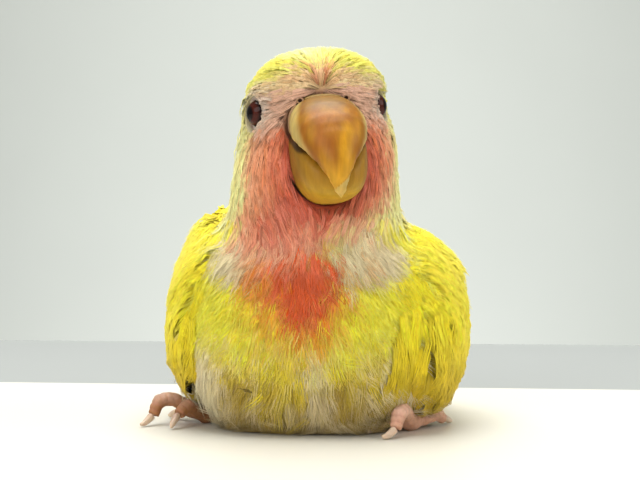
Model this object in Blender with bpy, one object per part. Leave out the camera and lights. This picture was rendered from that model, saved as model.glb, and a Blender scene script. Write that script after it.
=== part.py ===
"""Peach-faced lovebird, a lutino fledgling sitting on its belly, as a still life-size model.

The bird faces -Y with +Z up, and its left side is +X.  The floor is Z = 0, and the origin lies
on the floor in the middle of the bird.  Every size and place below is in millimetres, and MM
turns it to metres where a mesh is made.

One row of body sections runs from the rump to the crown.  Torso, neck and head are lengths of
that one form, so they meet section to section, and the wings and the tail are laid on it.
"""

import math
import random
from functools import partial

import bmesh
import bpy
import numpy as np
from mathutils import Matrix, Vector

MM = 0.001
GAP = 0.3
SMALLEST_EDGE = 0.0005
TUBE_STEPS = 2
SEED = 5

# The whole bird is shifted so that the origin is the middle of its length and width.
SHIFT = (1.7, -17.5, 0.0)

# Body sections from the rump to the crown.  Each row is the section's centre (y, z), the lean
# of its plane in degrees (0 lies level, 90 stands across the body), its half width, its radius
# to the belly side and its radius to the back.
BODY_ROWS = np.array([
    (37.0, 10.0, 72, 6.5, 5.0, 5.0),
    (31.0, 11.2, 65, 12.6, 10.0, 9.0),
    (23.0, 13.4, 57, 18.6, 16.5, 12.2),
    (14.0, 16.6, 49, 22.3, 24.5, 14.0),
    (6.0, 20.5, 41, 24.0, 30.5, 14.5),
    (0.3, 24.5, 33, 24.3, 29.0, 14.3),
    (-3.5, 28.3, 26, 23.2, 24.3, 14.1),
    (-6.6, 32.2, 22, 20.6, 20.0, 13.8),
    (-8.8, 36.0, 22, 16.7, 16.4, 13.5),
    (-9.9, 39.6, 23, 15.4, 13.2, 13.0),
    (-10.6, 43.5, 19, 15.1, 12.2, 12.8),
    (-11.3, 47.6, 12, 14.5, 11.6, 13.0),
    (-12.0, 51.8, 5, 13.6, 11.2, 13.4),
    (-12.6, 56.0, -2, 12.9, 10.6, 13.4),
    (-12.8, 60.0, -7, 12.2, 9.6, 12.5),
    (-12.6, 63.4, -9, 10.8, 8.0, 10.6),
    (-12.0, 65.9, -9, 8.3, 5.9, 7.8),
    (-11.6, 67.3, -9, 4.9, 3.4, 4.4),
])
RUMP, NECK_CUT, HEAD_CUT, CROWN = 0.0, 8.3, 9.6, 17.0
CROWN_TOP = (0.9, -11.3, 67.8)
BELLY_ROUNDNESS, BROW_ROUNDNESS = 2.7, 2.25
BACK_ROUNDNESS = 2.15
ROUND_FROM, ROUND_TO = 9.0, 12.0
BODY_SIDES = 32

# The head looks a little to the bird's left, with that side raised.
HEAD_PIVOT = Vector((0.0, -10.0, 44.0))
HEAD_YAW = math.radians(14.8)
HEAD_ROLL = math.radians(4.8)
CROWN_SKEW = 0.9
HEAD_SLIDE = Vector((0.9, 0.0, 0.0))
TURN_FROM, TURN_TO = 7.6, 10.4
SLIDE_FROM, SLIDE_TO = 8.5, 12.5

# Eyes, in the head before it turns.
EYE_RADIUS = 2.9
EYE_PLACE = (10.4, -16.3, 57.0)
LID_RADIUS, LID_THICKNESS = 2.95, 0.6
LID_OUT = 1.0
EYE_AIM = math.radians(66)

# The lores, hollowed between each eye and the bill.
LORE_PLACE = (9.8, -21.8, 56.6)
LORE_DEPTH, LORE_RADIUS = 1.0, 4.2

# Upper bill: rows of culmen (y, z), cutting edge (y, z) and half width, base to tip.
BILL_ROWS = np.array([
    (-19.4, 58.9, -19.6, 50.4, 6.1),
    (-24.4, 58.5, -23.2, 49.5, 6.4),
    (-29.0, 56.5, -26.6, 48.1, 6.35),
    (-32.4, 52.7, -29.4, 46.6, 5.5),
    (-34.1, 48.3, -31.2, 44.9, 3.5),
    (-34.4, 44.4, -32.3, 42.9, 1.8),
    (-33.7, 41.4, -32.9, 41.5, 0.95),
])
BILL_TIP = (0.0, -33.3, 40.3)
BILL_EDGE_SHARE = 0.36
CERE_END = 1.0
NOSTRIL_PLACE = (3.9, -22.4, 57.6)
NOSTRIL_RADIUS = 0.75

# Lower bill, a deep scoop: rows of y, top z, bottom z and half width, throat to tip.
MANDIBLE_ROWS = np.array([
    (-18.0, 49.6, 40.4, 6.0),
    (-22.0, 49.4, 39.9, 6.6),
    (-26.0, 48.2, 39.9, 6.5),
    (-28.8, 46.6, 40.5, 5.4),
    (-30.6, 45.2, 41.5, 3.7),
    (-31.3, 44.3, 42.5, 1.9),
])
MANDIBLE_RIM_SHARE = 0.26

# The folded wings lie on the body's sections, but stand off the rump and reach over the tail.
WING_HULL_ROWS = np.vstack([
    (46.0, 9.6, 78, 9.0, 6.0, 7.4),
    (37.5, 10.6, 72, 11.0, 7.0, 8.4),
    (31.0, 11.6, 65, 14.2, 10.0, 10.6),
    BODY_ROWS[2:],
])

# Wings: distances along the folded wing from its front edge, and across it from its middle
# line, positive towards the floor.
WING_FRONT = {"left": 8.45, "right": 9.3}
WING_HOVER = 0.45
WING_CORE_THICKNESS = 2.0
WING_MIDDLE_ANGLE = math.radians(78)
WING_TURN_RADIUS = 20.0
WING_DROOP = {"left": 0.3, "right": -3.5}
WING_CLEARANCE = 0.7
SHOULDER_LIFT = {"left": 0.0, "right": 1.5}
SHOULDER_SWELL = {"left": -0.7, "right": 5.0}
WING_BULK = {"left": 1.0, "right": 0.8}

# Tail: rows of y, z, half width and half thickness.
TAIL_ROWS = np.array([
    (43.0, 8.4, 6.3, 3.1),
    (50.0, 6.2, 5.9, 1.7),
    (57.0, 4.3, 5.0, 1.0),
    (61.0, 3.4, 3.6, 0.7),
])

# Feet and legs, one row a side: heel, pad where the toes meet, then each toe's points.
TARSUS_RADIUS = 1.7
PAD_RADIUS = 2.3
TOE_RADIUS = 1.45
CLAW_RADIUS = 0.85
KNEE_RADIUS, HEEL_RADIUS = 4.9, 2.6
THIGH_FLOOR = 0.4
CLAW_START = 0.6
TOES = range(4)
LEGS = {
    "left": dict(
        knee=(14.5, -12.0, 7.0), heel=(12.0, -3.5, 3.6), pad=(17.8, -12.6, 2.2),
        toes=(
            [(17.3, -15.0, 3.1), (16.8, -18.0, 4.7), (16.0, -20.4, 4.3), (15.5, -21.6, 2.2)],
            [(15.6, -14.2, 2.6), (13.6, -15.6, 3.4), (12.2, -16.4, 2.0)],
            [(20.0, -10.8, 2.3), (22.2, -8.4, 2.9), (23.4, -6.2, 1.7)],
            [(18.0, -9.9, 2.2), (18.8, -7.2, 2.5), (19.6, -5.4, 1.5)],
        ),
        claws=((13.2, -23.2, 0.5), (10.5, -18.3, 0.5), (25.2, -3.4, 0.5), (21.0, -3.2, 0.5)),
    ),
    "right": dict(
        knee=(-14.5, -11.0, 7.0), heel=(-12.5, -2.5, 3.6), pad=(-20.2, -7.6, 2.2),
        toes=(
            [(-23.0, -8.4, 3.0), (-26.0, -9.6, 5.0), (-28.4, -10.8, 4.7), (-29.2, -11.8, 2.4)],
            [(-21.4, -10.0, 2.8), (-22.8, -12.4, 4.2), (-23.8, -14.0, 2.8)],
            [(-20.2, -5.2, 2.2), (-20.9, -2.8, 2.7), (-21.6, -0.9, 1.6)],
            [(-22.4, -6.6, 2.2), (-24.8, -5.0, 2.6), (-26.4, -3.6, 1.6)],
        ),
        claws=((-31.0, -14.3, 0.5), (-24.6, -17.0, 0.5), (-22.6, 1.9, 0.5), (-28.8, -2.2, 0.5)),
    ),
}

COLOURS = {
    "plumage_yellow": ((0.86, 0.72, 0.03), 0.75),
    "plumage_peach": ((0.72, 0.25, 0.14), 0.75),
    "flight_feather": ((0.90, 0.80, 0.08), 0.6),
    "horn": ((0.62, 0.36, 0.08), 0.35),
    "cere": ((0.62, 0.50, 0.24), 0.5),
    "eye": ((0.02, 0.006, 0.008), 0.08),
    "foot_skin": ((0.60, 0.32, 0.22), 0.55),
    "claw": ((0.55, 0.40, 0.33), 0.35),
}


def clear_scene():
    for old in list(bpy.data.objects):
        bpy.data.objects.remove(old, do_unlink=True)


def make_collection(name):
    made = bpy.data.collections.new(name)
    bpy.context.scene.collection.children.link(made)
    return made


def make_material(name):
    colour, roughness = COLOURS[name]
    made = bpy.data.materials.new(name)
    made.use_nodes = True
    shader = made.node_tree.nodes["Principled BSDF"]
    shader.inputs["Base Color"].default_value = (*colour, 1.0)
    shader.inputs["Roughness"].default_value = roughness
    shader.inputs["Metallic"].default_value = 0.0
    return made


def between_rows(rows, at):
    """A smooth curve through the rows, read at a row number that may be a fraction."""
    last = len(rows) - 1
    first = int(min(max(math.floor(at), 0), last - 1))
    t = at - first
    before = rows[first - 1] if first > 0 else 2 * rows[0] - rows[1]
    after = rows[first + 2] if first + 2 <= last else 2 * rows[last] - rows[last - 1]
    start, end = rows[first], rows[first + 1]
    bend = 2 * before - 5 * start + 4 * end - after
    twist = 3 * start - before - 3 * end + after
    value = start + 0.5 * t * (end - before + t * (bend + t * twist))
    return [float(number) for number in value]


def spread(low, high, count):
    return [low + (high - low) * k / (count - 1) for k in range(count)]


def power_round(angle, roundness):
    """Cosine and sine of a superellipse with this roundness; 2 is an ellipse."""
    c, s = math.cos(angle), math.sin(angle)
    return (math.copysign(abs(c) ** (2 / roundness), c),
            math.copysign(abs(s) ** (2 / roundness), s))


def ease(value, low, high):
    t = min(max((value - low) / (high - low), 0.0), 1.0)
    return t * t * (3 - 2 * t)


def turn_head(point, at=None):
    """Carry a point of the straight body, in its section, to where the turned head takes it."""
    turned = 1.0 if at is None else ease(at, TURN_FROM, TURN_TO)
    slid = 1.0 if at is None else ease(at, SLIDE_FROM, SLIDE_TO)
    turn = Matrix.Rotation(HEAD_YAW * turned, 3, "Z") @ Matrix.Rotation(-HEAD_ROLL * turned, 3, "Y")
    return HEAD_PIVOT + HEAD_SLIDE * slid + turn @ (Vector(point) - HEAD_PIVOT)


def section_point(row, angle, grow=0.0, along=0.0, front=BELLY_ROUNDNESS):
    """Point of one section; angle 0 is the back, a quarter turn the bird's left side."""
    y, z, lean, half_width, belly, back = row
    lean = math.radians(lean)
    rises = math.cos(angle) > 0
    up, side = power_round(angle, BACK_ROUNDNESS if rises else front)
    reach = up * ((back if rises else belly) + grow)
    forward = Vector((0.0, -math.sin(lean), math.cos(lean)))
    outward = Vector((0.0, math.cos(lean), math.sin(lean)))
    return Vector((side * (half_width + grow), y, z)) + reach * outward + along * forward


def body_point(at, angle, grow=0.0, along=0.0):
    shift = ease(at, ROUND_FROM, ROUND_TO)
    front = BELLY_ROUNDNESS + shift * (BROW_ROUNDNESS - BELLY_ROUNDNESS)
    point = section_point(between_rows(BODY_ROWS, at), angle, grow, along, front)
    lore = Vector(LORE_PLACE)
    away = Vector((abs(point.x), point.y, point.z)) - lore
    sink = LORE_DEPTH * math.exp(-away.length_squared / LORE_RADIUS ** 2)
    point.x -= math.copysign(0.8 * sink, point.x)
    point.y += 0.6 * sink
    point.x += CROWN_SKEW * ease(at, HEAD_CUT, CROWN)
    return turn_head(point, at)


def body_ring(at, grow=0.0, along=0.0):
    return [body_point(at, math.tau * k / BODY_SIDES, grow, along) for k in range(BODY_SIDES)]


def loft(rings, start_point=None, end_point=None):
    """Skin a row of equal rings; each end is a flat cap, or closes on a point."""
    bm = bmesh.new()
    rows = [[bm.verts.new(p) for p in ring] for ring in rings]
    count = len(rings[0])
    for low, high in zip(rows, rows[1:]):
        for k in range(count):
            bm.faces.new((low[k], low[(k + 1) % count], high[(k + 1) % count], high[k]))
    for row, point in ((rows[0], start_point), (rows[-1], end_point)):
        if point is None:
            bm.faces.new(row)
            continue
        pole = bm.verts.new(point)
        for k in range(count):
            bm.faces.new((row[k], row[(k + 1) % count], pole))
    bmesh.ops.recalc_face_normals(bm, faces=bm.faces)
    return bm


def level_floor(bm, height=0.0):
    """Cut the form off level at the floor and close it with one flat face."""
    geometry = list(bm.verts) + list(bm.edges) + list(bm.faces)
    cut = bmesh.ops.bisect_plane(bm, geom=geometry, plane_co=(0, 0, height), plane_no=(0, 0, -1),
                                 clear_outer=True, dist=1e-4)
    rim = [e for e in cut["geom_cut"] if isinstance(e, bmesh.types.BMEdge)]
    bmesh.ops.holes_fill(bm, edges=rim, sides=0)
    bmesh.ops.recalc_face_normals(bm, faces=bm.faces)
    return bm


def make_object(name, bm, material, collection):
    """A millimetre form as an object in metres, shifted to the part's origin."""
    bmesh.ops.triangulate(bm, faces=bm.faces)
    bmesh.ops.translate(bm, verts=bm.verts, vec=SHIFT)
    bmesh.ops.scale(bm, verts=bm.verts, vec=(MM, MM, MM))
    mesh = bpy.data.meshes.new(name)
    bm.to_mesh(mesh)
    bm.free()
    if material:
        mesh.materials.append(material)
    made = bpy.data.objects.new(name, mesh)
    collection.objects.link(made)
    return made


def drop(made):
    mesh = made.data
    bpy.data.objects.remove(made, do_unlink=True)
    bpy.data.meshes.remove(mesh)


def is_closed(bm):
    return all(len(edge.link_faces) == 2 for edge in bm.edges)


def keep_largest(mesh):
    """Leave only the closed surface that holds the most room, without its tiniest edges."""
    bm = bmesh.new()
    bm.from_mesh(mesh)
    bmesh.ops.triangulate(bm, faces=bm.faces)
    welded = bm.copy()
    bmesh.ops.remove_doubles(welded, verts=welded.verts, dist=SMALLEST_EDGE * MM)
    if is_closed(welded):
        bm, welded = welded, bm
    welded.free()
    left = set(bm.faces)
    shells = []
    while left:
        seed = left.pop()
        shell, edge = {seed}, [seed]
        while edge:
            near = {f for e in edge.pop().edges for f in e.link_faces if f in left}
            left -= near
            shell |= near
            edge.extend(near)
        room = sum(f.calc_center_median().dot(f.normal) * f.calc_area() for f in shell)
        shells.append((room, shell))
    shells.sort(key=lambda pair: pair[0])
    scraps = [f for _, shell in shells[:-1] for f in shell]
    if scraps:
        bmesh.ops.delete(bm, geom=scraps, context="FACES")
    bm.to_mesh(mesh)
    bm.free()


def cut_away(body, forms, solver="MANIFOLD"):
    """Cut forms from a body one after another, because forms that overlap confuse one cut."""
    for form in forms:
        combine(body, [form], "DIFFERENCE", solver)


def combine(body, forms, operation, solver="EXACT"):
    """Join closed forms to a body, or cut them from it, in one applied Boolean."""
    tools = make_collection("tools")
    for form in forms:
        for home in list(form.users_collection):
            home.objects.unlink(form)
        tools.objects.link(form)
        form.hide_render = True
        form.display_type = "WIRE"
    step = body.modifiers.new(operation.lower(), "BOOLEAN")
    step.operation = operation
    step.operand_type = "COLLECTION"
    step.collection = tools
    step.solver = solver
    graph = bpy.context.evaluated_depsgraph_get()
    done = bpy.data.meshes.new_from_object(body.evaluated_get(graph))
    body.modifiers.remove(step)
    old = body.data
    done.name = body.name
    body.data = done
    bpy.data.meshes.remove(old)
    for form in list(tools.objects):
        drop(form)
    bpy.data.collections.remove(tools)
    keep_largest(body.data)


def make_ball(centre, radius, across=20, rings=12):
    bm = bmesh.new()
    bmesh.ops.create_uvsphere(bm, u_segments=across, v_segments=rings, radius=radius)
    bmesh.ops.translate(bm, verts=bm.verts, vec=centre)
    return bm


def wrap(form):
    """The tight convex skin round a form's points, for a limb that folds back on itself."""
    bm = bmesh.new()
    for vert in form.verts:
        bm.verts.new(vert.co)
    form.free()
    bmesh.ops.convex_hull(bm, input=bm.verts)
    inside = [vert for vert in bm.verts if not vert.link_faces]
    bmesh.ops.delete(bm, geom=inside, context="VERTS")
    return bm


def make_tube(points, radii, sides=8, floor=None):
    """A round limb along points, with a radius at each, and flat soles where it meets a floor."""
    path = np.array([tuple(p) for p in points], dtype=float)
    steps = TUBE_STEPS * (len(path) - 1)
    rings = []
    for k in range(steps + 1):
        at = k / TUBE_STEPS
        centre = Vector(between_rows(path, at))
        ahead = Vector(between_rows(path, min(at + 0.05, len(path) - 1)))
        behind = Vector(between_rows(path, max(at - 0.05, 0)))
        line = (ahead - behind).normalized()
        side = line.cross(Vector((0, 0, 1))).normalized()
        rise = side.cross(line)
        radius = float(np.interp(at, range(len(radii)), radii))
        ring = []
        for j in range(sides):
            angle = math.tau * (j + 0.5) / sides
            point = centre + radius * (math.cos(angle) * side + math.sin(angle) * rise)
            if floor is not None:
                point.z = max(point.z, floor)
            ring.append(point)
        rings.append(ring)
    return loft(rings)


VANE_SHAPE = ((0.0, 0.6), (0.45, 1.0), (0.84, 0.8), (1.0, 0.16))


def make_vane(surface, root, tip, width, thickness, lift, tilt=0.0):
    """One feather blade on a surface(u, v, h), from root (u, v) to tip (u, v).

    The blade has a raised shaft, swells from its root to its middle and rounds off at the tip.
    """
    rings = []
    for q, swell in VANE_SHAPE:
        half = 0.5 * width * swell
        u = root[0] + q * (tip[0] - root[0])
        v = root[1] + q * (tip[1] - root[1])
        h = lift[0] + q * (lift[1] - lift[0])
        thick = thickness * (1.0 - 0.3 * q)
        edge = 0.6 * thick
        rings.append([
            surface(u, v - half, h + edge - tilt * half),
            surface(u, v, h + thick),
            surface(u, v + half, h + edge + tilt * half),
            surface(u, v + half, h + tilt * half),
            surface(u, v - half, h - tilt * half),
        ])
    return loft(rings)


def build_body(nodes):
    """Torso, neck and head: three lengths of one form, parted by flat cuts."""
    half = 0.5 * GAP
    torso_rows = spread(RUMP, NECK_CUT, 18)
    rings = [body_ring(at) for at in torso_rows[:-1]] + [body_ring(NECK_CUT, along=-half)]
    torso = make_object("torso", level_floor(loft(rings)), nodes.plumage, nodes.part)
    rings = [body_ring(NECK_CUT, along=half), body_ring(0.5 * (NECK_CUT + HEAD_CUT))]
    rings.append(body_ring(HEAD_CUT, along=-half))
    neck = make_object("neck", loft(rings), nodes.peach, nodes.part)
    head_rows = spread(HEAD_CUT, CROWN, 14)
    rings = [body_ring(HEAD_CUT, along=half)] + [body_ring(at) for at in head_rows[1:]]
    crown = turn_head(CROWN_TOP)
    head = make_object("head", loft(rings, end_point=crown), nodes.peach, nodes.part)
    return torso, neck, head


def bill_ring(at, grow=0.0, sides=18):
    """A bill section: broad and domed over the culmen, and flat under the cutting edges."""
    culmen_y, culmen_z, edge_y, edge_z, half_width = between_rows(BILL_ROWS, at)
    low = Vector((0.0, edge_y, edge_z))
    high = Vector((0.0, culmen_y, culmen_z))
    depth = (high - low).length
    rise = (high - low).normalized()
    middle = low + BILL_EDGE_SHARE * depth * rise
    ring = []
    for k in range(sides):
        angle = math.tau * k / sides
        domed = math.cos(angle) > 0
        up, side = power_round(angle, 2.0 if domed else 2.6)
        share = 1 - BILL_EDGE_SHARE if domed else BILL_EDGE_SHARE
        reach = up * (share * depth + grow)
        ring.append(turn_head(middle + reach * rise + Vector((side * (half_width + grow), 0, 0))))
    return ring


def bill_form(start, end, count, grow=0.0, tip=True):
    rings = [bill_ring(at, grow) for at in spread(start, end, count)]
    point = turn_head(Vector(BILL_TIP) + Vector((0, 0, -grow))) if tip else None
    return loft(rings, end_point=point)


def mandible_form(grow=0.0, sides=18):
    rings = []
    for at in spread(0, len(MANDIBLE_ROWS) - 1, 9):
        y, top, bottom, half_width = between_rows(MANDIBLE_ROWS, at)
        rim = top - MANDIBLE_RIM_SHARE * (top - bottom)
        ring = []
        for k in range(sides):
            angle = math.tau * k / sides
            above = math.cos(angle) > 0
            up, side = power_round(angle, 2.6 if above else 2.0)
            reach = (top - rim if above else rim - bottom) + grow
            ring.append(turn_head((side * (half_width + grow), y, rim + up * reach)))
        rings.append(ring)
    back = rings[0]
    if grow:
        rings.insert(0, [p + Vector((0, grow, 0)) for p in back])
        rings.append([p + Vector((0, -grow, 0)) for p in rings[-1]])
    return loft(rings)


def eye_centre(sign):
    x, y, z = EYE_PLACE
    return turn_head((sign * x, y, z))


def build_face(nodes, tools, head):
    """Lids and eye sockets, the seats of both bills, the cere with its nostrils, and the eyes."""
    sockets = []
    for name, sign in (("left", 1), ("right", -1)):
        centre = eye_centre(sign)
        out = turn_head(Vector(HEAD_PIVOT) + Vector((sign * math.sin(EYE_AIM), -math.cos(EYE_AIM), 0)))
        out = (out - turn_head(HEAD_PIVOT)).normalized()
        lid = bmesh.new()
        bmesh.ops.create_circle(lid, segments=6, radius=LID_THICKNESS)
        bmesh.ops.rotate(lid, verts=lid.verts, matrix=Matrix.Rotation(math.pi / 2, 3, "X"))
        bmesh.ops.translate(lid, verts=lid.verts, vec=(LID_RADIUS, 0, 0))
        bmesh.ops.spin(lid, geom=lid.verts[:] + lid.edges[:], axis=(0, 0, 1), cent=(0, 0, 0),
                       steps=16, angle=math.tau, use_merge=True)
        bmesh.ops.remove_doubles(lid, verts=lid.verts, dist=1e-3)
        aim = Vector((0, 0, 1)).rotation_difference(out).to_matrix()
        bmesh.ops.rotate(lid, verts=lid.verts, matrix=aim)
        bmesh.ops.translate(lid, verts=lid.verts, vec=centre + LID_OUT * out)
        bmesh.ops.recalc_face_normals(lid, faces=lid.faces)
        combine(head, [make_object("lid", lid, nodes.peach, tools)], "UNION")
        sockets.append(make_object("socket", make_ball(centre, EYE_RADIUS + GAP, 14, 8), None, tools))
        make_object("eye_" + name, make_ball(centre, EYE_RADIUS, 14, 8), nodes.eye, nodes.part)
    seats = [
        make_object("upper_seat", bill_form(-0.06, 6.0, 12, GAP), None, tools),
        make_object("lower_seat", mandible_form(GAP), None, tools),
    ]
    cut_away(head, sockets + seats)

    make_object("bill_upper", bill_form(CERE_END + 0.035, 6.0, 12), nodes.horn, nodes.part)
    lower = make_object("bill_lower", mandible_form(), nodes.horn, nodes.part)
    cere = make_object("cere", bill_form(0.0, CERE_END - 0.025, 5, tip=False), nodes.cere,
                       nodes.part)
    cut_away(lower, [make_object("seat", bill_form(-0.06, 6.0, 12, GAP), None, tools)])
    for sign in (1, -1):
        x, y, z = NOSTRIL_PLACE
        pit = make_ball(turn_head((sign * x, y, z)), NOSTRIL_RADIUS, 10, 6)
        cut_away(cere, [make_object("pit", pit, None, tools)])


def wing_surface(name, sign):
    """Map distances on the folded wing to the body's side: u back, v down, h outwards."""
    droop, lift, swell = WING_DROOP[name], SHOULDER_LIFT[name], SHOULDER_SWELL[name]
    bulk = WING_BULK[name]
    stops = spread(0.0, WING_FRONT[name], 90)
    spine = [Vector(between_rows(WING_HULL_ROWS, at)[:2]) for at in stops]
    left = [0.0]
    for a, b in zip(spine[::-1], spine[-2::-1]):
        left.append(left[-1] + (b - a).length)

    def place(u, v, h):
        at = float(np.interp(u, left, stops[::-1]))
        row = between_rows(WING_HULL_ROWS, at)
        hold = WING_TURN_RADIUS * min(row[3] / BODY_ROWS[3][3], 1.0)
        sink = droop * ease(u, 0.0, 20.0) - lift * (1 - ease(u, 0.0, 20.0))
        angle = sign * (WING_MIDDLE_ANGLE + (v + sink) / hold)
        shoulder = (1 - ease(u, 2.0, 18.0)) * ease(v, -17.0, -8.0) * (1 - ease(v, -5.0, 6.0))
        stand = WING_HOVER + bulk * h + swell * shoulder * min(h, 1.0)
        point = turn_head(section_point(row, angle, stand), at - 1)
        point.z = max(point.z, WING_CLEARANCE + 0.4 * h)
        return point

    return place


def wing_reach(u):
    """How far the wing's core spreads up and down at a distance from its front edge."""
    rows = ((0.0, 5.0, 9.0), (4.0, 12.5, 16.5), (12.0, 18.0, 21.0), (22.0, 19.5, 19.5),
            (32.0, 17.0, 15.0), (42.0, 11.5, 10.5), (50.0, 5.5, 6.0), (56.0, 2.5, 3.0))
    at = [row[0] for row in rows]
    up = float(np.interp(u, at, [row[1] for row in rows]))
    return up, float(np.interp(u, at, [row[2] for row in rows]))


def wing_core(surface):
    """A cambered sheet, thickest along its middle, under all the wing's feathers."""
    rings = []
    across = 7
    for u in spread(0.0, 54.0, 13):
        up, down = wing_reach(u)
        thick = WING_CORE_THICKNESS * (0.35 + 0.65 * ease(u, 0, 8) * (1 - 0.7 * ease(u, 25, 54)))
        outer, inner = [], []
        for k in range(across):
            q = k / (across - 1)
            v = -up + q * (up + down)
            crown = 1 - (2 * q - 1) ** 2
            outer.append(surface(u, v, 0.5 + thick * (0.25 + 0.75 * crown)))
            inner.append(surface(u, v, 0.0))
        rings.append(outer + inner[::-1])
    return loft(rings)


WING_TIERS = (
    # name, count, root u, tip u at the floor side and at the back, v spread, width, lift
    ("primary", 7, 24.0, (56.0, 50.0), (16.0, 3.0), 5.8, (0.7, 0.5)),
    ("secondary", 7, 22.0, (46.0, 41.0), (4.5, -17.0), 6.0, (1.2, 1.0)),
    ("greater_covert", 9, 13.0, (31.0, 28.0), (18.5, -18.0), 6.2, (1.0, 1.9)),
    ("median_covert", 8, 6.0, (21.0, 19.0), (16.0, -16.5), 6.6, (1.0, 2.4)),
    ("lesser_covert", 6, 1.0, (12.0, 11.0), (11.5, -12.5), 6.8, (0.7, 2.5)),
)


def boxes_meet(first, second):
    """Whether the boxes round two objects' meshes overlap."""
    sides = []
    for made in (first, second):
        points = np.array([tuple(v.co) for v in made.data.vertices])
        sides.append((points.min(axis=0), points.max(axis=0)))
    (low, high), (other_low, other_high) = sides
    return bool(np.all(low < other_high) and np.all(other_low < high))


def cut_clear(pieces, obstacles, tools):
    """Cut each piece by every form that it meets; a piece with nothing left goes."""
    kept = []
    for piece in pieces:
        for make_form in obstacles:
            form = make_object("cut", make_form(), None, tools)
            if boxes_meet(piece, form):
                cut_away(piece, [form])
            else:
                drop(form)
            if not piece.data.polygons:
                break
        if piece.data.polygons:
            kept.append(piece)
        else:
            drop(piece)
    return kept


def build_wing(name, sign, nodes, tools, draw, obstacles):
    surface = wing_surface(name, sign)
    wing = make_object("wing_" + name, wing_core(surface), nodes.flight, nodes.part)
    vanes = []
    for tier, count, root_u, (tip_low, tip_high), (low, high), width, lift in WING_TIERS:
        for k in range(count):
            q = k / (count - 1)
            v = low + q * (high - low)
            tip_u = tip_low + q * (tip_high - tip_low) + draw.uniform(-0.5, 0.5)
            squeeze = 0.62 if tier in ("primary", "secondary") else 0.96
            root = (root_u + draw.uniform(-0.4, 0.4), v)
            tip = (tip_u, v * squeeze + 0.6)
            rise = 0.1 * (k % 2)
            form = make_vane(surface, root, tip, width, 0.85, (lift[0], lift[1] + rise), 0.10)
            vanes.append(make_object(tier, form, nodes.flight, tools))
    cut_clear([wing], obstacles, tools)
    combine(wing, cut_clear(vanes, obstacles, tools), "UNION", "MANIFOLD")


def tail_surface(u, v, h):
    """Map distances along, across and over the tail to its gently sinking plane."""
    y = 38.5 + u
    z = 9.6 - 0.30 * u + 0.0021 * u * u
    return Vector((v, y, z - 0.012 * v * v + h))


def build_tail(nodes, tools, draw):
    first = body_ring(RUMP, along=-GAP)
    rings = [first]
    for at in spread(0, len(TAIL_ROWS) - 1, 7):
        y, z, half_width, half_depth = between_rows(TAIL_ROWS, at)
        ring = []
        for k in range(BODY_SIDES):
            up, side = power_round(math.tau * k / BODY_SIDES, 2.2)
            ring.append(Vector((side * half_width, y, z + up * half_depth)))
        rings.append(ring)
    tail = make_object("tail", loft(rings), nodes.flight, nodes.part)
    vanes = []
    for pair in range(6):
        for sign in (1, -1):
            root = (3.5 + 0.3 * pair, sign * (0.7 + 0.62 * pair))
            tip = (30.5 - 1.15 * pair + draw.uniform(-0.3, 0.3), sign * (1.4 + 1.3 * pair))
            lift = (0.3 - 0.25 * pair, 0.5 - 0.30 * pair)
            form = make_vane(tail_surface, root, tip, 5.0, 0.8, lift, 0.05 * sign)
            vanes.append(make_object("rectrix", form, nodes.flight, tools))
    for k in range(5):
        v = 2.1 * (k - 2)
        form = make_vane(tail_surface, (1.5, 0.7 * v), (15.0 - 0.8 * abs(k - 2), 1.15 * v), 4.8, 0.9,
                         (1.6, 1.2))
        vanes.append(make_object("upper_covert", form, nodes.flight, tools))
    for k in range(4):
        v = 2.4 * (k - 1.5)
        form = make_vane(tail_surface, (1.5, 0.7 * v), (14.0 - 0.8 * abs(k - 1.5), 1.1 * v), 4.8, 0.9,
                         (-2.6, -2.4))
        vanes.append(make_object("under_covert", form, nodes.flight, tools))
    combine(tail, vanes, "UNION", "MANIFOLD")


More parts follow.
